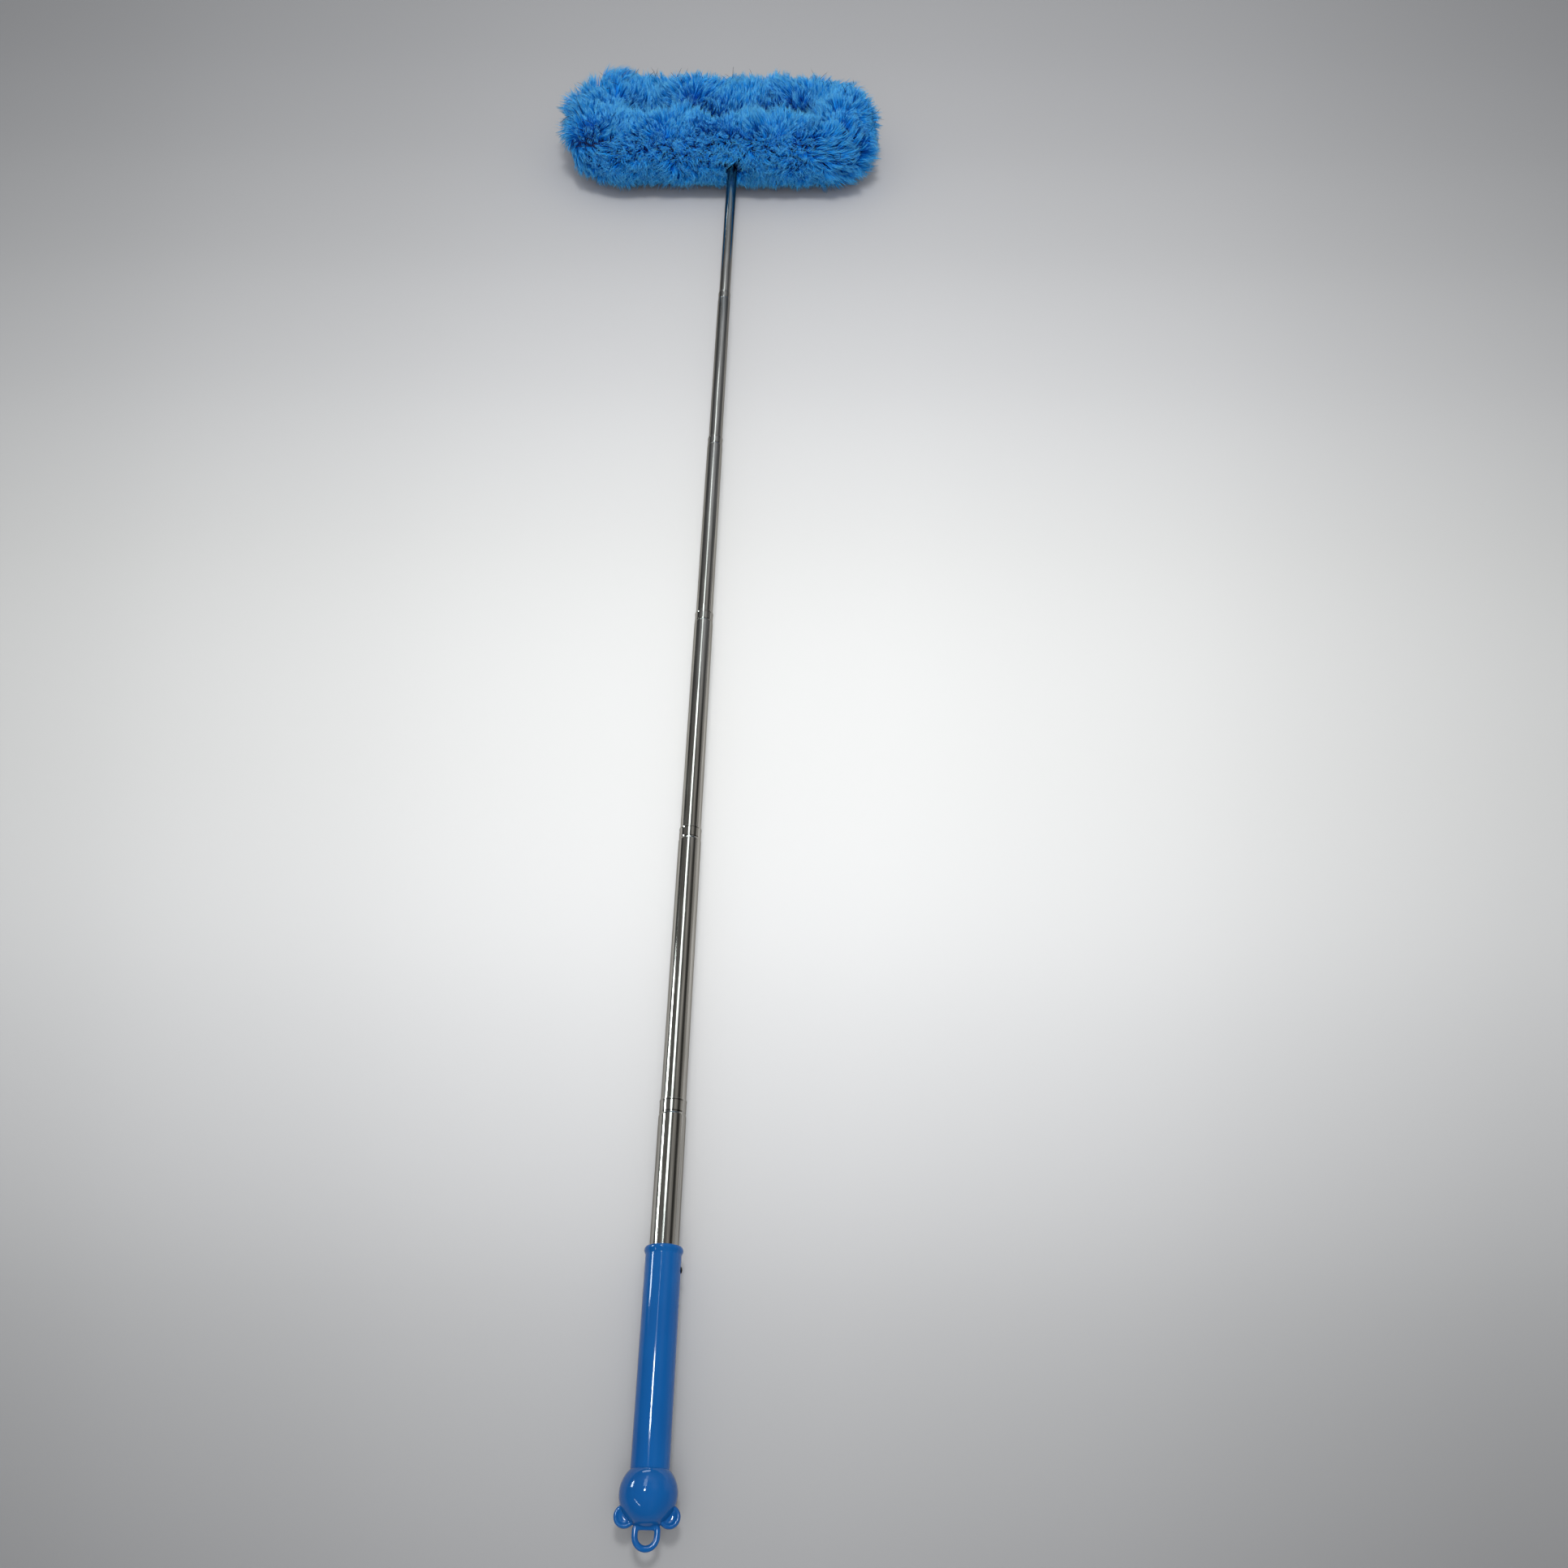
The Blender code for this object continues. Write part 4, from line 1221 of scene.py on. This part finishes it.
    def lean(self, u: Array, angle: Array) -> tuple[Array, Array, Array]:
        """The flow of the pile: how far it leans along and round the loop, and its length.

        Slow waves, to which the slot, the underside, the corners, the tuft
        over the mouth, the peaks, whorls and partings each add their part.

        Args:
            u: distances of the roots.
            angle: angles of the roots.

        Returns:
            Lean along, lean around (both in radians), and a share of the length.
        """
        loop = self.loop
        curly = self.curly(u, angle)
        calm = 1 - self.curl_calms * curly
        along = loop.waves(u, angle, self.flow_along) * calm
        around = loop.waves(u, angle, self.flow_around) * calm - self.curl_droops * curly
        share = 1 + loop.waves(u, angle, self.flow_length)
        # both rows lean over the slot and meet above it
        inward = np.clip(np.cos(way_from(angle, math.radians(self.slot_degrees))), 0, 1) ** 2
        across = loop.waves(u, angle, self.slot_waver)
        along *= 1 - self.slot_calms * inward
        slot_lean = self.slot_lean + self.slot_lean_waver * across
        around = around * (1 - self.slot_calms * inward) - inward * slot_lean
        share *= 1 + inward * (self.slot_growth - self.slot_growth_waver * across)
        share *= 1 - self.curl_shortens * curly
        # shorter underneath and on top, longer at three of the corners
        out, up = np.clip(np.cos(angle), 0, 1), np.clip(np.sin(angle), 0, 1)
        under = np.clip(-np.sin(angle), 0, 1)
        share *= (1 - self.under_shortens * under**2) * (1 - self.top_shortens * up**2)
        heading = loop.centre(u)[1]
        quarter = np.clip((heading // (math.pi / 2)).astype(int), 0, 3)
        slant = np.abs(np.sin(2 * heading)) ** self.corner_power * out
        share *= 1 + np.array(self.corner_growth)[quarter] * slant
        # a tuft hangs over the mouth that the pole goes in at
        place, reach, lean, growth = self.mouth_tuft
        tuft = bell(u - loop.pole_at, self.mouth_half_width)
        tuft *= bell(way_from(angle, math.radians(place)), math.radians(reach))
        around -= lean * tuft
        share *= 1 + growth * tuft
        # the right end is blunt, and a peak stands at the back on the left
        cut, near, far = self.blunt_end
        right = np.abs(u - loop.front - loop.end / 2)
        share *= 1 - cut * (1 - ease(near, far, right)) * out
        for peak in self.peaks:
            away = np.hypot(*self.offset(u, angle, peak.u, math.radians(peak.degrees)))
            share *= 1 + peak.growth * bell(away, peak.reach)
        for whorl in self.whorls:
            dx, dy = self.offset(u, angle, whorl.u, math.radians(whorl.degrees))
            away = np.hypot(dx, dy) + 1e-6
            near = bell(away, whorl.reach)
            push = whorl.push * near * ease(0, self.whorl_eye, away)
            calm = 1 - self.whorl_calms * near
            along = along * calm + push * dx / away
            around = around * calm + push * dy / away
        for parting in self.partings:
            (u0, f0), (u1, f1) = parting.start, parting.end
            run = np.array([u1 - u0, math.radians(f1 - f0) * self.surface_radius])
            dx, dy = self.offset(u, angle, u0, math.radians(f0))
            t = np.clip((dx * run[0] + dy * run[1]) / (run @ run), 0, 1)
            ox, oy = dx - t * run[0], dy - t * run[1]
            away = np.hypot(ox, oy) + 1e-6
            push = parting.push * bell(away, self.parting_reach * parting.half_width)
            share *= 1 - parting.depth * bell(away, parting.half_width)
            along = along + push * ox / away
            around = around + push * oy / away
        return along, around, share

    def curly(self, u: Array, angle: Array) -> Array:
        """How short and curly the pile is: 1 low on the front bar, 0 on top and behind.

        Args:
            u: distances of the roots.
            angle: angles of the roots.

        Returns:
            The share for each root.
        """
        front = self.loop.front
        low, high = (share * front for share in self.curly_shares)
        place, near, far = (math.radians(degrees) for degrees in self.curly_degrees)
        middle = np.abs(way_from(u, front / 2, self.loop.length))
        on_front = 1 - ease(low, high, middle)
        return on_front * (1 - ease(near, far, np.abs(way_from(angle, place))))

    def curved(
        self, u: Array, angle: Array, along: Array, around: Array,
        length: Array, curl: Array, phase: Array, segments: int,
    ) -> Array:
        """Centre lines of strands that bend over as they rise.

        A strand starts straight out and turns over to its full lean w as
        w (1 - (1-t)^2.5). Its rise and its sideways reach are the running
        sums of the cosine and sine of that turn. A curl swings it across its
        own plane as sin(p + 6t).

        Args:
            u: distances of the roots.
            angle: angles of the roots.
            along: lean along the loop.
            around: lean round the loop.
            length: lengths of the strands.
            curl: width of the curl in metres.
            phase: where the curl starts.
            segments: pieces of each line.

        Returns:
            n x (segments + 1) x 3 points in the head's axes.
        """
        t = np.linspace(0, 1, segments + 1)
        w = self.most_lean * np.tanh(np.hypot(along, around) / self.most_lean)
        heading = np.arctan2(around, along)[:, None]
        steps = segments * self.substeps
        turn = w[:, None] * (1 - (1 - (np.arange(steps) + 0.5) / steps) ** self.bend_power)
        sums = [np.cumsum(part, 1) for part in (np.cos(turn), np.sin(turn))]
        sums = [np.pad(part, ((0, 0), (1, 0)))[:, :: self.substeps] for part in sums]
        out, sideways = (part * length[:, None] / steps for part in sums)
        swing = curl[:, None] * t * np.sin(phase[:, None] + self.curl_turn * t)
        c, s = np.cos(heading), np.sin(heading)
        radius = self.root_radius + out
        du, df = sideways * c - swing * s, (sideways * s + swing * c) / radius
        return self.loop.around(u[:, None] + du, angle[:, None] + df, radius)

    def kept_clear(self, points: Array) -> Array:
        """Move points off the pole and the socket, then off the floor.

        Near the top height a point that is x too high comes down to
        r (1 - exp(-x / r)), so that no strand rises past it.

        Args:
            points: (..., 3) in the head's axes.

        Returns:
            (..., 3) in the row frame.
        """
        off = np.hypot(points[..., 0], points[..., 2]) + 1e-9
        behind = ease(-self.socket_reach - 1 * MM, -self.socket_reach + 1 * MM, points[..., 1])
        room = self.tube_clearance + (self.socket_clearance - self.tube_clearance) * behind
        near_pole = points[..., 1] < -self.clear_from
        push = np.where(near_pole & (off < room), room / off, 1.0)
        placed = self.loop.place(points * np.stack([push, np.ones_like(push), push], -1))
        height = np.maximum(placed[..., 2], self.floor_clearance)
        over = np.clip(height - self.top_height + self.top_room, 0, None)
        placed[..., 2] = height - over + self.top_room * (1 - np.exp(-over / self.top_room))
        return placed

    def gathered(
        self, u: Array, f: Array, rows: int, columns: int, chance: np.random.Generator
    ) -> tuple[Array, Array, Array]:
        """Give each root to the nearest centre of a jittered, staggered grid.

        Args:
            u: distances of the roots.
            f: angles of the roots.
            rows: centres along the loop.
            columns: centres round it.
            chance: the source of the jitter.

        Returns:
            Distances and angles of the centres, and the centre's number for each root.
        """
        size = self.loop.length
        gu, gf = np.meshgrid(np.arange(rows), np.arange(columns), indexing="ij")
        cu = (gu + 0.5 * (gf % 2) + chance.uniform(*self.jitter, gu.shape)) / rows * size
        cf = (gf + chance.uniform(*self.jitter, gf.shape)) / columns * TURN
        row, column = (u / size * rows).astype(int), (f / TURN * columns).astype(int)
        best, owner = np.full(u.shape, np.inf), np.zeros(u.shape, int)
        for a in (-2, -1, 0, 1):
            for b in (-1, 0, 1):
                i, j = (row + a) % rows, (column + b) % columns
                gap = np.hypot(*self.offset(u, f, cu[i, j], cf[i, j]))
                owner = np.where(gap < best, i * columns + j, owner)
                best = np.minimum(gap, best)
        return cu.ravel(), cf.ravel(), owner

    def strands(self) -> tuple[Array, Array, Array, Array]:
        """Lay out all strands.

        Roots are a jittered grid, each given to the nearest centre of a
        coarser jittered grid of locks, and of a finer one of tresses. Strand,
        tress and lock are all worked out as curves. The strand is drawn to its
        tress, and the tress to its lock, by shares that grow from the root.

        Returns:
            Distance of each root, centre lines (n x k x 3), tints (n x 2) and widths (n).
        """
        chance = np.random.default_rng(self.seed)
        nu, nf = self.strands_along, self.strands_around
        gu, gf = np.meshgrid(np.arange(nu), np.arange(nf), indexing="ij")
        u = ((gu + chance.uniform(0, 1, gu.shape)) / nu * self.loop.length).ravel()
        f = ((gf + chance.uniform(0, 1, gf.shape)) / nf * TURN).ravel()
        hidden = np.clip(-np.sin(f), 0, 1) ** 2 * self.under_bare
        beside_pole = np.abs(u - self.loop.pole_at) < self.bare_half_width
        at_pole = beside_pole & (np.abs(way_from(f, 0.0)) < math.radians(self.bare_degrees))
        keep = (chance.uniform(0, 1, u.shape) > hidden) & ~at_pole
        u, f = u[keep], f[keep]

        rows, columns, fine = self.locks_along, self.locks_around, self.tress_share
        lock_u, lock_f, lock = self.gathered(u, f, rows, columns, chance)
        tress_u, tress_f, tress = self.gathered(u, f, rows * fine, columns * fine, chance)
        count, many, n = len(lock_u), len(tress_u), len(u)

        along, around, share = self.lean(lock_u, lock_f)
        curly = self.curly(lock_u, lock_f)
        scatter = self.lock_scatter[0] + self.lock_scatter[1] * curly
        along = along + chance.normal(0, 1, count) * scatter
        around = around + chance.normal(0, 1, count) * scatter
        length = self.pile_length * share * chance.uniform(*self.lock_lengths, count)
        curl = chance.uniform(*self.curl_widths, count) * (1 + self.curl_grows * curly) * MM
        phase = chance.uniform(0, TURN, count)
        gather = chance.uniform(*self.gather, count) * (1 - 0.5 * curly)
        tone = chance.uniform(0, 1, count)
        pieces = self.segments
        centre = self.curved(lock_u, lock_f, along, around, length, curl, phase, pieces)[lock]

        loose = self.strand_scatter[0] + self.strand_scatter[1] * curly[lock]
        lean_u = along[lock] + chance.normal(0, 1, many)[tress] * loose
        lean_f = around[lock] + chance.normal(0, 1, many)[tress] * loose
        length = length[lock] * chance.uniform(*self.tress_lengths, many)[tress]
        swing, phase = curl[lock] * self.tress_curl, phase[lock]
        middle = self.curved(
            tress_u[tress], tress_f[tress], lean_u, lean_f, length, swing, phase, pieces
        )
        lean_u = lean_u + chance.normal(0, 0.3, n) * loose
        lean_f = lean_f + chance.normal(0, 0.3, n) * loose
        length = length * chance.uniform(*self.strand_lengths, n)
        phase = phase + chance.normal(0, 2, n) * loose
        own = self.curved(u, f, lean_u, lean_f, length, swing, phase, pieces)

        t = np.linspace(0, 1, pieces + 1)
        lines = own + (middle - own) * (self.tress_gather * t)[:, None]
        drawn = gather[lock][:, None] * t**self.gather_power
        lines = lines + (centre - middle) * drawn[..., None]
        own_tone = chance.uniform(0, 1, many)[tress]
        shade = self.lock_tone * tone[lock] + (1 - self.lock_tone) * own_tone
        tints = np.stack([shade, chance.uniform(0, 1, n)], -1)
        return u, self.kept_clear(lines), tints, chance.uniform(*self.strand_widths, n)

    def stray_hairs(self) -> Array:
        """Single long hairs that stand out of the pile.

        Returns:
            Their centre lines, n x k x 3, in the row frame.
        """
        chance = np.random.default_rng(self.seed + 1)
        n = self.strays
        u = chance.uniform(*self.stray_places, n)
        f = np.radians(chance.uniform(*self.stray_degrees, n))
        length = chance.uniform(*self.stray_lengths, n)
        lean = [chance.normal(0, self.stray_lean, n) for _ in range(2)]
        curl, phase = chance.uniform(*self.stray_curls, n) * MM, chance.uniform(0, TURN, n)
        return self.kept_clear(self.curved(u, f, *lean, length, curl, phase, self.segments * 2))

    def prisms(self, name: str, lines: Array, tints: Array, widths: Array) -> Thing:
        """Three-sided tapering prisms along centre lines, closed at root and tip.

        Args:
            name: the piece's name.
            lines: n x k x 3 centre lines in the row frame.
            tints: n x 2, tone of the lock and of the strand.
            widths: n shares of the usual width.

        Returns:
            The new piece.
        """
        n, k, _ = lines.shape
        ahead = np.gradient(lines, axis=1)
        ahead /= np.linalg.norm(ahead, axis=2, keepdims=True) + 1e-12
        other = np.random.default_rng(n).normal(0, 1, (n, 1, 3))
        side = np.cross(ahead, other)
        side /= np.linalg.norm(side, axis=2, keepdims=True) + 1e-12
        third = np.cross(ahead, side)
        t = np.linspace(0, 1, k)
        taper = (self.tip_half_width - self.root_half_width) * t[:-1] ** self.taper_power
        half = self.root_half_width + taper
        half = (half * widths[:, None])[..., None, None]
        a = np.array([[0], [1], [2]]) / 3 * TURN
        ring = side[:, :-1, None] * np.cos(a) + third[:, :-1, None] * np.sin(a)
        ring = (ring * half + lines[:, :-1, None]).reshape(n, -1, 3)
        points = np.concatenate([ring, lines[:, -1:]], 1)
        top, last, c = (k - 1) * 3, (k - 2) * 3, np.arange(3)
        colours = np.ones((n, top + 1, 4))
        # red: place from root to tip, which the pile's material paints as shade at the root and
        # light at the tip
        colours[..., 0] = np.append(np.repeat(t[:-1], 3), 1.0)
        colours[..., 1:3] = tints[:, None, :]
        tip = np.stack([last + (c + 1) % 3, last + c, top + 0 * c], -1)
        base = (np.arange(n) * (top + 1))[:, None, None]
        quads, caps = base + net(k - 1, 3, False), base + np.concatenate([c[None], tip])
        skin = Skin(points.reshape(-1, 3), quads, caps)
        return make_piece(name, skin, colours.reshape(-1, 4))

    def backing(self, name: str, start: float, end: float, open_front: bool) -> Thing:
        """A stretch of the backing: a lumpy tube, or one open towards the pole.

        The outer radius is the backing's with lumps of a millimetre; the
        inner one is the bore. An open stretch stops where it is level with
        the socket's top and bottom, and its wall is closed by a fan at each
        end. A tube's wall runs out along its shell and back along its bore.

        Args:
            name: the piece's name.
            start: distance where it starts.
            end: distance where it ends.
            open_front: whether its front is open.

        Returns:
            The new piece.
        """
        rows = max(4, round((end - start) / self.backing_step))
        u = np.linspace(start, end, rows)[:, None]
        if open_front:
            edge = math.asin(self.socket_clearance / self.backing_radius)
            low = math.asin(self.socket_clearance / self.mouth_bore)
            outer = np.linspace(edge, TURN - edge, self.shell_columns)
            inner = np.linspace(TURN - low, low, self.bore_columns)
            bore_radius = self.mouth_bore
        else:
            outer = inner = np.linspace(0, TURN, self.tube_columns, endpoint=False)
            bore_radius = self.backing_bore
        lumps = self.loop.waves(u + 0 * outer, outer + 0 * u, self.lumps)
        shell = self.loop.around(u + 0 * outer, outer, self.backing_radius + lumps)
        bore = self.loop.around(u + 0 * inner, inner, bore_radius)
        if open_front:
            wall = np.concatenate([shell, bore], 1)
            columns = wall.shape[1]
            middle = (np.full(2, math.pi), self.backing_radius * self.cap_share)
            ends = self.loop.around(np.array([start, end]), *middle)
            points = np.concatenate([wall.reshape(-1, 3), ends])
            skin = Skin(points, net(rows, columns, False), fans(rows, columns))
        else:
            points = np.concatenate([shell, bore[::-1]]).reshape(-1, 3)
            skin = Skin(points, net(2 * rows, len(outer), True))
        return make_piece(name, skin.moved(self.loop.place))

    def build(self, pile: Material, backing: Material) -> None:
        """Make the backing and the strands, stretch by stretch.

        Args:
            pile: the strands' material.
            backing: the material of the backing and the stray hairs.
        """
        loop, gap = self.loop, self.backing_gap
        left, right = loop.pole_at - self.mouth_half_width, loop.pole_at + self.mouth_half_width
        back = loop.front + loop.end
        hairs = self.stray_hairs()
        few = len(hairs)
        for piece in (
            self.backing("backing_around", right + gap, loop.length + left - gap, False),
            self.backing("backing_mouth", left + gap, right - gap, True),
            self.prisms("stray_hairs", hairs, np.zeros((few, 2)), np.full(few, self.stray_width)),
        ):
            settle(piece, backing, Body.HEAD, Slot.PLUSH)
        u, lines, tints, widths = self.strands()
        stretches = [
            ("front_left", 0.0, left, 2),
            ("mouth", left, right, 1),
            ("front_right", right, loop.front, 1),
            ("right_end", loop.front, back, 2),
            ("back", back, back + loop.front, 3),
            ("left_end", back + loop.front, loop.length, 2),
        ]
        for name, start, end, parts in stretches:
            edges = np.linspace(start, end, parts + 1)
            for part in range(parts):
                mine = (u >= edges[part]) & (u < edges[part + 1])
                strands = (lines[mine], tints[mine], widths[mine])
                piece = self.prisms(f"pile_{name}_{part + 1}", *strands)
                settle(piece, pile, Body.HEAD, Slot.PLUSH, f"cover_{name}")


# ----------------------------------------------------------------- studio


@dataclass(frozen=True)
class Lamp:
    """A flat rectangular lamp: its place, size and power, and what it looks at.

    One that lights casts shadows and isn't mirrored; any other draws only a
    highlight. Without an aim it looks straight down, with its length along Y.
    """

    name: str
    place: Triple
    size: tuple[float, float]
    watts: float
    aim: Triple | None = None
    lights: bool = False
    strip_colour: Triple = (0.86, 0.97, 1.0)

    def build(self) -> None:
        """Make the lamp and turn it to its aim."""
        data = bpy.data.lights.new(self.name, "AREA")
        data.shape = "RECTANGLE"
        data.size, data.size_y = self.size
        data.energy = self.watts
        if not self.lights:
            data.color = self.strip_colour
        lamp = linked(self.name, data)
        lamp.visible_diffuse, lamp.visible_glossy = self.lights, not self.lights
        lamp.location = self.place
        away = Vector(self.place) - Vector(self.aim or (*self.place[:2], 0.0))
        lamp.rotation_euler = away.normalized().to_track_quat("Z", "Y").to_euler()


LAMPS = (
    Lamp("key", (0.15, 0.05, 2.5), (0.5, 0.5), 24, lights=True),
    Lamp("front fill", (0.1, -1.7, 1.7), (1.2, 1.2), 12, (0.0, 0.0, 0.0), lights=True),
    Lamp("thin near strip", (-0.31, -0.36, 2.4), (0.08, 0.86), 1.7),
    Lamp("near strip", (-0.42, -0.58, 2.39), (0.27, 0.25), 15),
    Lamp("overhead strip", (-0.40, 0.77, 2.4), (0.60, 1.5), 13),
    Lamp("rear strip", (-0.30, 2.2, 2.5), (0.52, 1.4), 5, (-0.30, 1.9, 0.0)),
    Lamp("far strip", (-0.8, 4.2, 0.95), (2.0, 0.7), 28, (0.0, 0.3, 0.0)),
    Lamp("left strip", (-1.62, -0.02, 0.74), (0.68, 0.28), 16, (0.018, -0.02, 0.02)),
    Lamp("side tube", (-1.23, -2.01, 1.27), (1.1, 0.08), 5, (0.018, -0.857, 0.02)),
)

# The room round the pole: sine of the turn from straight up, negative to the
# left, and its light; the same for what lies ahead of the handle; and how that
# fades: level of the direction along Y, share left, and how much bluer it is
ROOM_ROUND = (
    (-1.0, 0.05), (-0.94, 0.06), (-0.88, 0.16), (-0.2, 0.18), (0.0, 0.10), (0.2, 0.16),
    (0.44, 0.50), (0.6, 0.34), (0.74, 0.05), (0.9, 0.06), (0.97, 0.45), (1.0, 0.50),
)
ROOM_AHEAD = (
    (-1.0, 0.16), (-0.8, 0.18), (-0.43, 0.58), (0.0, 1.0), (0.43, 0.70), (0.79, 0.24), (1.0, 0.23),
)
ROOM_FADE = (
    (0.0, 0.74, 0.0), (0.52, 0.74, 0.0), (0.755, 0.74, 0.01), (0.787, 0.72, 0.02),
    (0.813, 0.58, 0.03), (0.832, 0.46, 0.06), (0.845, 0.48, 0.18), (0.87, 0.60, 0.28),
    (1.0, 0.12, 0.25),
)


@dataclass
class Studio:
    """The floor, the lamps, the room's dim light and the camera."""

    lens: float = 31.68
    camera_place: Triple = (0.113, -0.99911, 1.07236)
    camera_turn: Triple = (35.0, 0.0, 0.9)
    floor_half: float = 7.0
    tent_light: tuple[float, float] = (0.40, 0.62)
    behind: Triple = (0.08, 0.26, 0.25)
    ahead: tuple[float, float] = (0.54, 0.68)

    def camera(self) -> None:
        """Stand the camera where the photograph was taken from."""
        data = bpy.data.cameras.new("photograph")
        data.sensor_fit, data.sensor_width, data.lens = "HORIZONTAL", 36, self.lens
        data.clip_start, data.clip_end = 0.01, 50
        camera = linked("photograph", data)
        camera.location = self.camera_place
        camera.rotation_euler = Euler([math.radians(a) for a in self.camera_turn])
        bpy.context.scene.camera = camera

    def floor(self, material: Material) -> None:
        """Lay the pale sheet.

        Args:
            material: the sheet's.
        """
        corners = np.array([(-1, -1, 0), (1, -1, 0), (1, 1, 0), (-1, 1, 0)]) * self.floor_half
        floor = make_piece("floor", Skin(corners, np.arange(4)))
        dress(floor, material)

    def room(self) -> None:
        """Light from the room by direction, so that the steel has bands to mirror.

        Round the pole's line the room goes from dark at the left, through a
        dim ceiling, to a pale patch and a dark one at the right; straight
        ahead of the handle a pale wall fades towards the floor. Matt surfaces
        get the even light of a white tent instead, and the camera a pale grey.
        """
        world = bpy.data.worlds.new("room")
        bpy.context.scene.world = world
        world.use_nodes = True
        tree = world.node_tree
        tree.nodes.clear()
        x, y, z = add_node(tree, "SeparateXYZ", (add_node(tree, "TexCoord")["Generated"],))
        square = add_node(tree, "Math", (x, x), operation="MULTIPLY")[0]
        square = add_node(tree, "Math", (z, z, square), operation="MULTIPLY_ADD")[0]
        across = add_node(tree, "Math", (square,), operation="SQRT")[0]
        sine = add_node(tree, "Math", (x, across), operation="DIVIDE")[0]
        low, high, least = self.behind
        dim = add_node(tree, "MapRange", (y, low, high, least, 1.0))[0]
        banded = {0: graded(tree, sine, ROOM_ROUND, (1.0, 0.992, 0.965)), "Scale": dim}
        banded = add_node(tree, "VectorMath", banded, operation="SCALE")[0]
        wall = graded(tree, sine, ROOM_AHEAD, (0.94, 0.98, 1.05))
        fade = graded(tree, y, [(at, (v * (1 - c), v, v * (1 + c))) for at, v, c in ROOM_FADE])
        wall = add_node(tree, "VectorMath", (wall, fade), operation="MULTIPLY")[0]
        blend = add_node(tree, "MapRange", (y, *self.ahead))[0]
        mixed = add_node(tree, "Mix", {0: blend, 6: banded, 7: wall}, data_type="RGBA")[2]
        tent = add_node(tree, "MapRange", (z, 0.0, 1.0, *self.tent_light))[0]
        mirrored = add_node(tree, "Background", (mixed, 1.0))[0]
        lit = add_node(tree, "Background", (linear("#FDFEFF"), tent))[0]
        seen = add_node(tree, "Background", (linear("#C9CACC"), 1.0))[0]
        path = add_node(tree, "LightPath")
        other = add_node(tree, "MixShader", (path["Is Diffuse Ray"], mirrored, lit))[0]
        both = add_node(tree, "MixShader", (path["Is Camera Ray"], other, seen))[0]
        add_node(tree, "OutputWorld", (both,))

    def build(self, material: Material) -> None:
        """Set the whole studio up.

        Args:
            material: the floor's.
        """
        bpy.context.scene.view_settings.view_transform = "Standard"
        self.camera()
        self.floor(material)
        self.room()
        for lamp in LAMPS:
            lamp.build()


@dataclass
class HiddenFittings:
    """Pieces inside the pole and the head, which keep their CAD shapes."""

    finishes: dict[str, tuple[str, ...]] = field(
        default_factory=lambda: {
            "nylon": (*(f"foot_plug_{n}" for n in range(1, 7)), "tip_insert"),
            "film": tuple(f"friction_sleeve_{n}" for n in range(2, 7)),
            "plastic": ("head_socket",),
            "screw": ("clamp_screw_left", "clamp_screw_right"),
            "rod": ("loop_frame",),
        }
    )

    def build(self, **materials: Material) -> None:
        """Dress the nodes that stay as they are.

        Args:
            **materials: finish name to material.
        """
        for finish, nodes in self.finishes.items():
            for node in nodes:
                dress(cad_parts[node], materials[finish])
                LOG.info("%s keeps its shape, in %s", node, finish)


def main() -> None:
    """Build every sub-assembly in order."""
    logging.basicConfig(level=logging.INFO, format="%(message)s")
    axis = PoleAxis()
    plastic, dark = BLUE_PLASTIC.make(), DARK_SCREW.make()
    screw = SetScrew(axis)
    Studio().build(FLOOR.make())
    TelescopicPole(axis).build(STEEL.make())
    MouldedGrip(axis, screw.along).build(plastic)
    screw.build(dark)
    EndBall(axis).build(plastic)
    nylon, film, rod = NYLON.make(), SLEEVE_FILM.make(), BENT_ROD.make()
    HiddenFittings().build(nylon=nylon, film=film, plastic=plastic, screw=dark, rod=rod)
    PlushHead(LoopPath(axis)).build(PILE.make(), BACKING.make())


if __name__ == "__main__":
    main()
